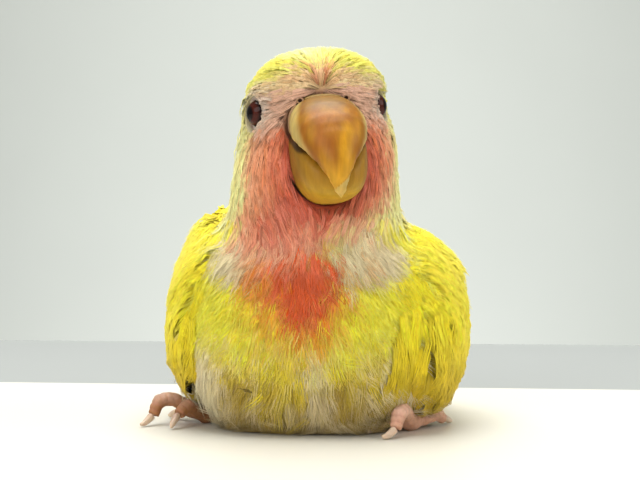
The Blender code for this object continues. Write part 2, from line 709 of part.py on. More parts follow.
def build_leg(name, nodes, tools, torso):
    """Thigh, tarsus, foot and four claws; the torso and each other are cut clear."""
    spec = LEGS[name]
    pad, heel, knee = Vector(spec["pad"]), Vector(spec["heel"]), Vector(spec["knee"])
    hip = knee + Vector((-0.25 * knee.x, 6.0, 4.0))

    def thigh_form(grow):
        radii = [KNEE_RADIUS * 0.8 + grow, KNEE_RADIUS + grow, HEEL_RADIUS + grow]
        limb = [hip, knee, heel.lerp(knee, 0.12)]
        return wrap(make_tube(limb, radii, 12, 0.0 if grow else THIGH_FLOOR))

    def tarsus_form(grow):
        radii = [TARSUS_RADIUS + grow] * 3
        ends = [heel, heel.lerp(pad, 0.5) - Vector((0, 0, 0.4)), pad]
        if grow:
            ends[0] = ends[0] - (ends[1] - ends[0]).normalized() * grow
        return make_tube(ends, radii, 10, -grow if grow else 0.0)

    def pad_form(grow):
        return level_floor(make_ball(pad, PAD_RADIUS + grow, 12, 8), -grow)

    def toe_form(toe, grow):
        path = [pad] + [Vector(p) for p in spec["toes"][toe]]
        radii = [TOE_RADIUS * 1.1 + grow] * (len(path) - 1) + [TOE_RADIUS * 0.85 + grow]
        return make_tube(path, radii, 8, -grow)

    def claw_form(toe, grow):
        end, last = Vector(spec["toes"][toe][-1]), Vector(spec["toes"][toe][-2])
        line = (end - last).normalized()
        start = end + line * (CLAW_START - grow)
        claw_tip = Vector(spec["claws"][toe])
        bend = start.lerp(claw_tip, 0.5) + 0.5 * line
        radii = [CLAW_RADIUS + grow, 0.75 * CLAW_RADIUS + grow, 0.3 + grow]
        return make_tube([start, bend, claw_tip + line * grow], radii, 7, -grow)

    def foot_forms(grow):
        forms = [pad_form(grow)] + [toe_form(toe, grow) for toe in TOES]
        return [make_object("foot_form", form, nodes.skin, tools) for form in forms]

    thigh = make_object("thigh_" + name, thigh_form(0.0), nodes.plumage, nodes.part)
    tarsus = make_object("tarsus_" + name, tarsus_form(0.0), nodes.skin, nodes.part)
    cut_away(tarsus, foot_forms(GAP))
    cut_away(thigh, [make_object("cut", tarsus_form(GAP), None, tools)])
    cut_away(thigh, foot_forms(GAP))
    cut_away(torso, [make_object("cut", form, None, tools)
                     for form in (tarsus_form(GAP), thigh_form(GAP))])
    cut_away(torso, foot_forms(GAP))
    cut_away(torso, [make_object("cut", claw_form(toe, GAP), None, tools) for toe in TOES])

    pieces = foot_forms(0.0)
    foot = pieces[0]
    foot.name = "foot_" + name
    tools.objects.unlink(foot)
    nodes.part.objects.link(foot)
    combine(foot, pieces[1:], "UNION")
    for toe in TOES:
        make_object("claw_%s_%d" % (name, toe + 1), claw_form(toe, 0.0), nodes.claw, nodes.part)

    obstacles = [partial(thigh_form, GAP), partial(tarsus_form, GAP), partial(pad_form, GAP)]
    for toe in TOES:
        obstacles += [partial(toe_form, toe, GAP), partial(claw_form, toe, GAP)]
    return obstacles


class Nodes:
    """The part's collection and its materials."""

    def __init__(self):
        self.part = make_collection("lovebird")
        self.plumage = make_material("plumage_yellow")
        self.peach = make_material("plumage_peach")
        self.flight = make_material("flight_feather")
        self.horn = make_material("horn")
        self.cere = make_material("cere")
        self.eye = make_material("eye")
        self.skin = make_material("foot_skin")
        self.claw = make_material("claw")


def main():
    clear_scene()
    draw = random.Random(SEED)
    nodes = Nodes()
    tools = make_collection("cutters")
    torso, neck, head = build_body(nodes)
    build_face(nodes, tools, head)
    for name, sign in (("left", 1), ("right", -1)):
        obstacles = build_leg(name, nodes, tools, torso)
        build_wing(name, sign, nodes, tools, draw, obstacles)
    build_tail(nodes, tools, draw)
    for made in nodes.part.objects:
        made.data.shade_smooth()


if __name__ == "__main__":
    main()
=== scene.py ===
# %% [markdown]
# # A lovebird fledgling, feather by feather
# The bird is a peach-faced lovebird of the yellow lutino form, about five weeks old. It sits on
# its belly, looks a little to its left and lets both feet lie out to the sides. The solids give
# its size and pose. This script dresses them: one soft skin, then down and feathers that lie
# from the bill to the tail, then the horn, the eyes and the scaly feet.

# %% The solids as a fixed frame
import math

import bmesh
import bpy
import numpy as np
from mathutils import Matrix, Vector
from mathutils.bvhtree import BVHTree


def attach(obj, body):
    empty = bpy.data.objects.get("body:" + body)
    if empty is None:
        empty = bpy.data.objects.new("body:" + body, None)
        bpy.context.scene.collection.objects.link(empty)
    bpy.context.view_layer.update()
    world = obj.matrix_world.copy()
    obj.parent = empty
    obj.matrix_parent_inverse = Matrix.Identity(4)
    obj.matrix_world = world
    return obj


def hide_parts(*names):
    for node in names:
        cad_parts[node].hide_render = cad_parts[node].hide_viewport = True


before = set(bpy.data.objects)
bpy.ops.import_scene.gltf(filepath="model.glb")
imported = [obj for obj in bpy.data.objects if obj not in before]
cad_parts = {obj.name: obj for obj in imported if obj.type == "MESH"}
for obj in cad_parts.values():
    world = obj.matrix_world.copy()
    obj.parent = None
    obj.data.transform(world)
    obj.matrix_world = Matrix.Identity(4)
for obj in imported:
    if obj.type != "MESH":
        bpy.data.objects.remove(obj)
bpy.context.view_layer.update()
print("solids:", len(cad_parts), "nodes")

# %% [markdown]
# ## Millimetres in the bird's own axes
# A bird this small is easiest to think of in millimetres. The solids were moved a little so that
# the origin is in the middle of their box, so `to_bird` takes that move off again, and
# `to_world` puts it back. The head is turned and tilted on the neck. `to_head` undoes that turn,
# so that a marking can be placed on a head that looks straight ahead.

# %% Units and the turned head
MM = 0.001
SHIFT = np.array([1.7, -17.5, 0.0])
HEAD_PIVOT = np.array([0.0, -10.0, 44.0])
HEAD_YAW = math.radians(14.8)
HEAD_ROLL = math.radians(4.8)
HEAD_SLIDE = np.array([0.9, 0.0, 0.0])
HEAD_TURN = np.array(Matrix.Rotation(HEAD_YAW, 3, "Z") @ Matrix.Rotation(-HEAD_ROLL, 3, "Y"))
NECK_LOW, NECK_HIGH = 35.0, 45.0
EYE_PLACE = np.array([10.4, -16.3, 57.0])


def to_bird(points):
    return np.asarray(points, dtype=float) / MM - SHIFT


def to_world(points):
    return (np.asarray(points, dtype=float) + SHIFT) * MM


def ease(value, low, high):
    """A smooth step from 0 at low to 1 at high."""
    t = np.clip((np.asarray(value, dtype=float) - low) / (high - low), 0.0, 1.0)
    return t * t * (3 - 2 * t)


def to_head(points):
    """Where a point would be if the head looked straight ahead; the body stays as it is."""
    points = np.asarray(points, dtype=float)
    straight = (points - HEAD_PIVOT - HEAD_SLIDE) @ HEAD_TURN + HEAD_PIVOT
    share = ease(points[..., 2:3], NECK_LOW, NECK_HIGH)
    return points + share * (straight - points)


def turned(points):
    """A point of the straight head, carried round with the head."""
    return (np.asarray(points, dtype=float) - HEAD_PIVOT) @ HEAD_TURN.T + HEAD_PIVOT + HEAD_SLIDE


# %% [markdown]
# ## Colours, noise and one helper for nodes
# Colours are written as they look, in sRGB hex, and turned to linear light in one place. The
# noise is a sum of sine waves in fixed random directions: smooth, cheap on whole arrays and the
# same in every run.

# %% Small helpers
def tint(code):
    """Linear red, green and blue of an sRGB hex colour."""
    parts = np.array([int(code[k:k + 2], 16) for k in (0, 2, 4)]) / 255
    return np.where(parts <= 0.04045, parts / 12.92, ((parts + 0.055) / 1.055) ** 2.4)


def rgba(code):
    return (*(float(part) for part in tint(code)), 1.0)


def add_node(tree, kind, inputs, **settings):
    """Add a shader node, set its properties, and set or link its inputs."""
    node = tree.nodes.new(kind)
    for name, value in settings.items():
        setattr(node, name, value)
    for socket, value in inputs.items():
        if isinstance(value, bpy.types.NodeSocket):
            tree.links.new(value, node.inputs[socket])
        else:
            node.inputs[socket].default_value = value
    return node


def ripple(points, size, seed, waves=7):
    """Smooth noise from -1 to 1 whose lumps are about size millimetres across."""
    draw = np.random.default_rng(seed)
    total = np.zeros(len(points))
    for _ in range(waves):
        way = draw.normal(size=3)
        way *= draw.uniform(0.7, 1.4) * math.pi / (size * np.linalg.norm(way))
        total += np.sin(points @ way + draw.uniform(0, math.tau))
    return np.clip(total / math.sqrt(waves), -1.0, 1.0)


def spot(points, centre, size):
    """1 inside an ellipsoid, easing to 0 a little outside it."""
    away = np.linalg.norm((points - np.array(centre)) / np.array(size), axis=1)
    return 1 - ease(away, 0.6, 1.15)


def unit(vectors):
    length = np.linalg.norm(vectors, axis=-1, keepdims=True)
    return vectors / np.maximum(length, 1e-9)


# %% [markdown]
# ## Camera
# The photograph looks almost straight at the breast, from about belly height and 20 cm away, a
# little from the bird's right. The tilt brings the floor's far edge and the crown to the
# photograph's rows.

# %% Camera at the photograph's place
CAMERA_AZIMUTH = math.radians(6)
CAMERA_DISTANCE = 205.0
CAMERA_HEIGHT = 30.0
CAMERA_SIDE = 0.26
CAMERA_TILT = math.atan(22 / 1067)

ahead = np.array([-math.sin(CAMERA_AZIMUTH), math.cos(CAMERA_AZIMUTH), 0.0])
aside = np.array([math.cos(CAMERA_AZIMUTH), math.sin(CAMERA_AZIMUTH), 0.0])
eye_point = -CAMERA_DISTANCE * ahead + CAMERA_SIDE * aside + np.array([0.0, 0.0, CAMERA_HEIGHT])
look = Vector(ahead * math.cos(CAMERA_TILT) + np.array([0.0, 0.0, math.sin(CAMERA_TILT)]))

lens = bpy.data.cameras.new("photo_camera")
lens.lens = 60
lens.sensor_width = 36
lens.clip_start = 0.01
camera = bpy.data.objects.new("photo_camera", lens)
camera.location = to_world(eye_point)
camera.rotation_euler = look.to_track_quat("-Z", "Y").to_euler()
bpy.context.scene.collection.objects.link(camera)
bpy.context.scene.camera = camera
bpy.context.scene.view_settings.view_transform = "Standard"

# %% [markdown]
# ## Floor, backdrop and light
# A white table top under a pale grey wall, and light from large soft lamps, as in a small
# product tent. The card ends behind the bird and a grey table top shows past it. The wall stands
# a metre back, with two lamps of its own, so the bird can be seen from behind as well.

# %% Table, wall and lamps
def plain_material(name, code, roughness):
    made = bpy.data.materials.new(name)
    made.use_nodes = True
    tree = made.node_tree
    shader = tree.nodes["Principled BSDF"]
    shader.inputs["Roughness"].default_value = roughness
    place = add_node(tree, "ShaderNodeTexCoord", {})
    grain = add_node(tree, "ShaderNodeTexNoise", {"Vector": place.outputs["Object"], "Scale": 9.0})
    tone = add_node(tree, "ShaderNodeMapRange", {"Value": grain.outputs["Fac"], "To Min": 0.98,
                    "To Max": 1.02})
    paint = add_node(tree, "ShaderNodeVectorMath", {0: rgba(code)[:3],
                     "Scale": tone.outputs["Result"]}, operation="SCALE")
    tree.links.new(paint.outputs["Vector"], shader.inputs["Base Color"])
    return made


def stage_plane(name, size, place, tilt, material):
    bm = bmesh.new()
    bmesh.ops.create_grid(bm, x_segments=2, y_segments=2, size=1.0)
    bmesh.ops.scale(bm, verts=bm.verts, vec=(size[0] / 2, size[1] / 2, 1.0))
    bmesh.ops.rotate(bm, verts=bm.verts, matrix=Matrix.Rotation(tilt, 3, "X"))
    bmesh.ops.translate(bm, verts=bm.verts, vec=place)
    mesh = bpy.data.meshes.new(name)
    bm.to_mesh(mesh)
    bm.free()
    made = bpy.data.objects.new(name, mesh)
    mesh.materials.append(material)
    bpy.context.scene.collection.objects.link(made)
    return made


CARD_END = 0.036
stage_plane("white_card", (3.0, 1.2), (0.0, CARD_END - 0.6, 0.0), 0.0,
            plain_material("white_card_paper", "E4E1D6", 0.5))
stage_plane("grey_table", (3.0, 0.14), (0.0, CARD_END + 0.07, -0.0002), 0.0,
            plain_material("grey_table_paint", "A5A8A5", 0.7))
stage_plane("wall", (6.0, 4.0), (0.0, CARD_END + 1.0, 1.0), math.pi / 2,
            plain_material("wall_paint", "D6DAD4", 0.9))


def soft_lamp(name, place, aim, size, power):
    light = bpy.data.lights.new(name, "AREA")
    light.shape = "DISK"
    light.size = size
    light.energy = power
    lamp = bpy.data.objects.new(name, light)
    lamp.location = place
    lamp.rotation_euler = (Vector(aim) - Vector(place)).to_track_quat("-Z", "Y").to_euler()
    bpy.context.scene.collection.objects.link(lamp)


soft_lamp("top_light", (-0.02, 0.0, 0.55), (0.0, 0.0, 0.02), 0.50, 3.8)
soft_lamp("front_light", (-0.25, -0.55, 0.30), (0.0, 0.0, 0.03), 0.45, 1.35)
soft_lamp("side_light", (0.48, -0.12, 0.25), (0.0, 0.0, 0.03), 0.35, 0.7)
soft_lamp("wall_light_high", (-0.12, 0.35, 0.66), (-0.12, 1.04, 0.1), 0.5, 3.2)
soft_lamp("wall_light_low", (-0.12, 0.45, -0.45), (-0.12, 1.04, 0.0), 0.5, 3.6)
world = bpy.data.worlds.new("studio_air")
world.use_nodes = True
world.node_tree.nodes["Background"].inputs["Color"].default_value = rgba("EDEFEA")
world.node_tree.nodes["Background"].inputs["Strength"].default_value = 0.36
bpy.context.scene.world = world

# %% [markdown]
# ## The skin
# Under its feathers a fledgling is one soft form, so the solids of head, neck, torso, wings,
# thighs and tail are swollen until they touch, remeshed into one surface and smoothed. That
# surface is the outside of the coat. The skin is the same surface, drawn in by the coat's depth:
# very little beside the bill, more on the breast and belly.

# %% One surface round all the flesh
FLESH = ("torso", "neck", "head", "wing_left", "wing_right", "thigh_left", "thigh_right", "tail")
SWELL = 0.25
VOXEL = 0.55
SMOOTH_ROUNDS = 6


def node_mesh(bm, name, swell=0.0):
    """Add a copy of a solid to a bmesh, its loose triangles joined and, if asked, swollen."""
    piece = bmesh.new()
    piece.from_mesh(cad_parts[name].data)
    bmesh.ops.remove_doubles(piece, verts=piece.verts, dist=1e-6)
    piece.normal_update()
    for vert in piece.verts:
        vert.co += vert.normal * swell * MM
    mesh = bpy.data.meshes.new("spare")
    piece.to_mesh(mesh)
    piece.free()
    bm.from_mesh(mesh)
    bpy.data.meshes.remove(mesh)


def link_mesh(name, mesh):
    made = bpy.data.objects.new(name, mesh)
    bpy.context.scene.collection.objects.link(made)
    return made


def finish_mesh(name, bm):
    mesh = bpy.data.meshes.new(name)
    bm.to_mesh(mesh)
    bm.free()
    return link_mesh(name, mesh)


def apply_modifiers(made):
    graph = bpy.context.evaluated_depsgraph_get()
    done = bpy.data.meshes.new_from_object(made.evaluated_get(graph))
    old = made.data
    made.modifiers.clear()
    made.data = done
    bpy.data.meshes.remove(old)


def remesh(made, voxel):
    step = made.modifiers.new("even_mesh", "REMESH")
    step.mode = "VOXEL"
    step.voxel_size = voxel * MM
    apply_modifiers(made)


body = bmesh.new()
for part_name in FLESH:
    node_mesh(body, part_name, SWELL)
skin = finish_mesh("skin", body)
remesh(skin, VOXEL)


def smooth_points(mesh, rounds, factor=0.5):
    """Move each point towards the middle of its neighbours, on whole arrays."""
    count = len(mesh.vertices)
    points = np.zeros(count * 3)
    mesh.vertices.foreach_get("co", points)
    points = points.reshape(-1, 3)
    edges = np.zeros(len(mesh.edges) * 2, dtype=np.int64)
    mesh.edges.foreach_get("vertices", edges)
    edges = edges.reshape(-1, 2)
    ends = np.concatenate([edges[:, 0], edges[:, 1]])
    others = np.concatenate([edges[:, 1], edges[:, 0]])
    degree = np.bincount(ends, minlength=count)[:, None]
    for _ in range(rounds):
        total = np.stack([np.bincount(ends, points[others, k], minlength=count)
                          for k in range(3)], axis=1)
        points += factor * (total / degree - points)
    mesh.vertices.foreach_set("co", points.ravel())
    mesh.update()
    return points


def vertex_normals(mesh):
    normals = np.zeros(len(mesh.vertices) * 3)
    mesh.vertices.foreach_get("normal", normals)
    return normals.reshape(-1, 3)


outer_points = smooth_points(skin.data, SMOOTH_ROUNDS)
outer_mm = to_bird(outer_points)
waist = 0.9 * spot(outer_mm, (15, -6, 42), (7, 12, 10)) + 0.5 * spot(outer_mm, (-14, -6, 43), (6, 12, 9))
outer_points = outer_points - vertex_normals(skin.data) * waist[:, None] * MM
skin.data.vertices.foreach_set("co", outer_points.ravel())
skin.data.update()
outer_normals = vertex_normals(skin.data)
whole = bmesh.new()
whole.from_mesh(skin.data)
OUTER = BVHTree.FromBMesh(whole)
whole.free()
print("skin:", len(outer_points), "points")


def solid_tree(names):
    bm = bmesh.new()
    for name in names:
        node_mesh(bm, name)
    tree = BVHTree.FromBMesh(bm)
    bm.free()
    return tree


def away_from(tree, points_mm):
    """Distance in millimetres from each point to a solid."""
    world_points = to_world(points_mm)
    return np.array([tree.find_nearest(Vector(p))[3] for p in world_points]) / MM


WINGS = solid_tree(["wing_left", "wing_right"])
HORN = solid_tree(["bill_upper", "bill_lower", "cere"])
EYES = solid_tree(["eye_left", "eye_right"])
TAIL = solid_tree(["tail"])
LEGS_TREE = solid_tree(["foot_left", "foot_right", "tarsus_left", "tarsus_right"])

# %% How deep the coat is, and the skin under it
skin_mm = to_bird(outer_points)
wing_away = away_from(WINGS, skin_mm)
wing_near = 1 - ease(wing_away, 0.5, 1.3)
horn_away = away_from(HORN, skin_mm)
eye_away = away_from(EYES, skin_mm)
tail_near = 1 - ease(away_from(TAIL, skin_mm), 0.4, 1.4)
leg_away = away_from(LEGS_TREE, skin_mm)

BREAST_DEPTH, CROWN_DEPTH, FACE_DEPTH, THIN_DEPTH = 1.1, 0.5, 0.25, 1.0
depth = BREAST_DEPTH + (CROWN_DEPTH - BREAST_DEPTH) * ease(skin_mm[:, 2], 36, 46)
near_face = 1 - ease(np.minimum(horn_away, eye_away + 0.6), 0.6, 4.0)
depth += near_face * (FACE_DEPTH - depth)
thin = np.maximum(wing_near, tail_near)
depth += thin * (THIN_DEPTH - depth)
depth = np.minimum(depth, 0.15 + 0.8 * np.maximum(skin_mm[:, 2], 0.0) + 0.4)

skin.data.vertices.foreach_set("co", (outer_points - outer_normals * depth[:, None] * MM).ravel())
skin.data.update()
skin_world = smooth_points(skin.data, 2)
skin_normals = vertex_normals(skin.data)
skin_mm = to_bird(skin_world)
skin.data.shade_smooth()
print("coat depth: %.2f to %.2f mm" % (depth.min(), depth.max()))

# %% [markdown]
# ## Markings
# A lutino peach-faced lovebird is yellow, with a salmon face and bib and an orange-red patch
# where the last pin feathers of the breast have just opened. Grey-white down still shows between
# bib and breast, and low on the flanks. One function answers with the colour of any point, so
# the skin and every tuft over it carry the same markings.

# %% The colour of any point of the bird
YELLOW_BACK = tint("FFE212")
YELLOW_BREAST = tint("FFE522")
# The two olive tones are painted shade: yellow darkened low on the body, and in streaks between the paler wisps
# underneath.
BELLY_SHADE_OLIVE = tint("A8861A")
BELLY_SHADE_STREAK = tint("86701E")
CREAM_DOWN = tint("EBD9B0")
GREY_DOWN = tint("E3CFA0")
CHEST_RED = tint("E6560A")
CHEST_ORANGE = tint("F09516")
FACE_SALMON = tint("EA8552")
FACE_DEEP = tint("CB5636")
FACE_PALE = tint("F0B48A")
LORE_MAUVE = tint("DBA98C")
HOOD_EDGE = tint("FAE791")
CROWN_YELLOW = tint("F6E453")
CROWN_PALE = tint("FBF29C")
FOREHEAD_ORANGE = tint("E4703A")
FOREHEAD_PALE = tint("F4C98F")
EYE_RIM_GREY = tint("D8CDBB")


def mix(low, high, share):
    return low + (high - low) * np.asarray(share)[:, None]


def marking(points):
    x, y, z = points.T
    head = to_head(points)
    hx, hy, hz = head.T
    wander = ripple(points, 6.0, 11)

    colour = mix(np.tile(YELLOW_BACK, (len(x), 1)), YELLOW_BREAST, 1 - ease(y, -6, 6))
    # Painted shade: the yellow turns olive low on the body, and darker olive streaks lie between the cream wisps
    # underneath.
    colour = mix(colour, BELLY_SHADE_OLIVE, (1 - ease(z + 2 * wander, 3, 17)) * (1 - ease(y, 14, 26)))
    stripes = ripple(points * (1.0, 0.6, 0.3), 1.7, 12)
    under = (1 - ease(z, 10, 20)) * (1 - ease(y, -2, 8))
    colour = mix(colour, CREAM_DOWN, 0.55 * under * ease(stripes, 0.25, 0.8))
    colour = mix(colour, BELLY_SHADE_STREAK, 0.5 * under * ease(-stripes, 0.2, 0.8))
    flank = ease(np.abs(x), 12, 17) * (1 - ease(z, 11, 19)) * (1 - ease(y, 0, 10))
    colour = mix(colour, CREAM_DOWN, 0.9 * flank)
    colour = mix(colour, CREAM_DOWN, 0.6 * spot(points, (2.0, -23.0, 9.0), (2.4, 9.0, 8.0)))
    colour = mix(colour, GREY_DOWN, spot(points, (-10.5, -22.0, 30.0), (6.5, 8.0, 4.2)))
    colour = mix(colour, GREY_DOWN, spot(points, (9.2, -21.0, 29.9), (7.0, 8.0, 5.2)))
    chest = points + 1.6 * wander[:, None] + 0.8 * stripes[:, None]
    colour = mix(colour, CHEST_ORANGE, 0.9 * spot(chest, (-0.9, -25.0, 24.5), (10.5, 9.0, 11.5)))
    colour = mix(colour, CHEST_RED, spot(chest, (-0.7, -25.0, 26.4), (7.8, 9.0, 9.5)))
    colour = mix(colour, CHEST_RED, spot(chest, (3.2, -24.0, 30.5), (3.6, 8.0, 4.8)))

    hood = ease(hz + wander, 33, 36) * (1 - ease(hy, 4, 12))
    hood *= 1 - ease(np.abs(hx), 14.0, 16.0) * (1 - ease(hz, 43, 47))
    colour = mix(colour, HOOD_EDGE, hood * (1 - ease(hy, -10, 2)))
    colour = mix(colour, CROWN_YELLOW, ease(hz, 50, 62))
    colour = mix(colour, CROWN_PALE, 0.8 * ease(hz + 0.8 * wander, 65.0, 67.5))

    side_line = -17.3 - 0.8 * (1 - ease(hz, 34, 50)) + 0.7 * wander
    low_line = 30.5 + 3.0 * ease(hx, -2, 6) + 5.0 * ease(-hx, 9, 13) + 0.9 * wander
    brow_line = 64.4 - 0.26 * np.abs(hx) + 0.4 * wander
    face = 1 - ease(hy, side_line - 1.2, side_line + 1.6)
    face *= ease(hz, low_line - 1.5, low_line + 1.5) * (1 - ease(hz, brow_line - 1.0, brow_line + 1.2))
    salmon = mix(np.tile(FACE_SALMON, (len(x), 1)), FACE_DEEP,
                 (1 - ease(np.abs(hx), 6.5, 11)) * (1 - ease(hz, 48, 56)))
    salmon = mix(salmon, FACE_PALE, 0.75 * (1 - ease(hz, low_line, low_line + 5)))
    salmon = mix(salmon, FACE_PALE, 0.55 * ease(hy, side_line - 4.0, side_line))
    salmon = mix(salmon, LORE_MAUVE, ease(hz, 51, 55) * (1 - ease(hz, 59.5, 62)))
    salmon = mix(salmon, FOREHEAD_PALE, ease(hz, 59.0, 60.6))
    parting = 1 - ease(np.abs(np.abs(hx) - 0.9 * (hz - 61.2)) - 0.4 * wander, 0.3, 1.8)
    salmon = mix(salmon, FOREHEAD_ORANGE, ease(hz, 60.2, 61.6) * np.maximum(
        0.7 * parting, 0.2 * (1 - ease(np.abs(hx), 5, 9))))
    colour = mix(colour, salmon, face)
    for sign in (-1, 1):
        near_eye = spot(head, (10.4 * sign, -16.3, 57.0), (4.3, 4.3, 4.6))
        colour = mix(colour, EYE_RIM_GREY, 0.75 * near_eye)
    return colour


# %% [markdown]
# ## The lie of the coat
# Feathers grow backwards from the bill. They part over the middle of the cere, run up and over
# the crown and sideways to the eyes, and on the cheeks they fall and close in under the
# bill like a beard. On the body they run from breast to tail, and the two sides of the breast
# lean a little outwards.

# %% The direction of any feather
PARTING = np.array([0.0, -24.5, 60.1])


def lie(points):
    head = to_head(points)
    hx, hy, hz = head.T
    apart = unit((head - PARTING) * (1.7, 1.0, 1.0))
    closing = 0.85 * (1 - ease(hz, 37, 55)) * np.tanh(hx / 4.5)
    beard = np.stack([-closing, np.full(len(hx), 0.25), np.full(len(hx), -1.0)], axis=1)
    beard += 0.3 * apart
    head_way = mix(beard, apart, ease(hz, 51.5, 57.0)) @ HEAD_TURN.T
    x = points[:, 0]
    body_way = np.stack([0.25 * np.tanh(x / 9.0), np.full(len(x), 0.6), np.full(len(x), -0.8)], axis=1)
    return unit(mix(body_way, head_way, ease(points[:, 2], 31, 37)))


# %% [markdown]
# ## Growing tufts
# Each tuft is a fan of a few tapering strands with three sides, so that every one is a closed
# sliver of horn-like keratin. A tuft starts on the skin, lies along the coat's outside and ends
# just above it. Normals lean towards the body's own, which gives the soft look of down. Every
# tuft also gets a small patch on a second UV map, at its root's place on an unrolled bird, so
# that its colours can be baked.

# %% Sampling roots on the skin
skin.data.calc_loop_triangles()
corners = np.zeros(len(skin.data.loop_triangles) * 3, dtype=np.int32)
skin.data.loop_triangles.foreach_get("vertices", corners)
corners = corners.reshape(-1, 3)
triangle = skin_mm[corners]
triangle_area = 0.5 * np.linalg.norm(
    np.cross(triangle[:, 1] - triangle[:, 0], triangle[:, 2] - triangle[:, 0]), axis=1)
AXIS = unit(np.array([0.0, -0.62, 0.785]))
AXIS_STOPS = np.linspace(-45, 65, 23)
along_axis = skin_mm @ AXIS
core = []
for stop in AXIS_STOPS:
    near = skin_mm[np.abs(along_axis - stop) < 5.0]
    core.append(0.5 * (near.min(axis=0) + near.max(axis=0)) if len(near) else (np.nan,) * 3)
core = np.array(core)
held = ~np.isnan(core[:, 0])


def unrolled(points):
    """Place of a point on the bird's skin, rolled out flat: around the body, then along it."""
    s = points @ AXIS
    middle = np.stack([np.interp(s, AXIS_STOPS[held], core[held, k]) for k in range(3)], axis=1)
    arm = points - middle
    belly_side = np.cross(AXIS, (1.0, 0.0, 0.0))
    around = np.arctan2(arm[:, 0], arm @ belly_side) / math.tau + 0.5
    return np.stack([0.02 + 0.95 * around, 0.02 + 0.95 * (s + 50) / 120], axis=1)


def nearest_outer(points):
    found = [OUTER.find_nearest(Vector(p)) for p in to_world(points)]
    return to_bird(np.array([f[0] for f in found])), np.array([f[1] for f in found])


def sample_roots(weight, per_mm2, draw):
    share = triangle_area * weight[corners].mean(axis=1)
    count = int(share.sum() * per_mm2)
    picked = draw.choice(len(share), size=count, p=share / share.sum())
    a, b = draw.random(count), draw.random(count)
    fold = a + b > 1
    a[fold], b[fold] = 1 - a[fold], 1 - b[fold]
    blend = np.stack([1 - a - b, a, b], axis=1)[:, :, None]
    chosen = corners[picked]
    return (skin_mm[chosen] * blend).sum(axis=1), unit((skin_normals[chosen] * blend).sum(axis=1))


# %% One mesh from many slivers
def strand_faces(rings):
    """Triangles of a closed sliver with three sides: rings of three points, then a tip."""
    faces = [(2, 1, 0)]
    for low in range(0, 3 * (rings - 1), 3):
        for a, b in ((0, 1), (1, 2), (2, 0)):
            faces += [(low + a, low + b, low + 3 + b), (low + a, low + 3 + b, low + 3 + a)]
    end = 3 * (rings - 1)
    faces += [(end, end + 1, end + 3), (end + 1, end + 2, end + 3), (end + 2, end, end + 3)]
    return np.array(faces)


BAKE_PATCH = 0.003
FLOOR_CLEAR = 0.12


def array_mesh(name, points, faces, colours, normals, patches):
    """A mesh from whole arrays: points in bird millimetres, triangles, and values a point."""
    mesh = bpy.data.meshes.new(name)
    mesh.vertices.add(len(points))
    points = points.copy()
    points[:, 2] = np.maximum(points[:, 2], FLOOR_CLEAR)
    mesh.vertices.foreach_set("co", to_world(points).ravel())
    mesh.loops.add(faces.size)
    mesh.loops.foreach_set("vertex_index", faces.ravel().astype(np.int32))
    mesh.polygons.add(len(faces))
    mesh.polygons.foreach_set("loop_start", np.arange(0, faces.size, 3, dtype=np.int32))
    mesh.update(calc_edges=True)
    tints = mesh.color_attributes.new("Tint", "FLOAT_COLOR", "POINT")
    tints.data.foreach_set("color", np.column_stack([colours, np.ones(len(points))]).ravel())
    bake = mesh.uv_layers.new(name="OFBake")
    bake.data.foreach_set("uv", patches[faces.ravel()].ravel())
    mesh.shade_smooth()
    mesh.normals_split_custom_set_from_vertices(normals)
    return link_mesh(name, mesh)


def follow_coat(flow, root, normal, reach, rings, rough, draw):
    """Walk along the outside of the coat in equal steps, with the lie of the feathers."""
    sway = draw.normal(0, rough, root.shape)
    spots, ways, ups = [root], [], [normal]
    for _ in range(rings):
        way = flow(spots[-1]) + sway + draw.normal(0, 0.5 * rough, root.shape)
        way = unit(way - ups[-1] * (way * ups[-1]).sum(axis=1, keepdims=True))
        ways.append(way)
        spot_there, up_there = nearest_outer(spots[-1] + way * reach / rings)
        spots.append(spot_there)
        ups.append(up_there)
    return spots, ways + ways[-1:], ups


EYE_CLEARANCE = 3.15
EYE_AIM = math.radians(71)


def eye_frame(sign):
    """Centre of an eye and the way it looks; sign is 1 for the left one."""
    gaze = unit(np.array([sign * math.sin(EYE_AIM), -math.cos(EYE_AIM), 0.0]) @ HEAD_TURN.T)
    return turned(EYE_PLACE * (sign, 1, 1)), gaze


WIDTH_AT = {2: (0.8, 1.0), 3: (0.8, 1.0, 0.75)}
FAN_AT = {2: (0.0, 1.0, 1.5), 3: (0.0, 0.7, 1.0, 1.2)}


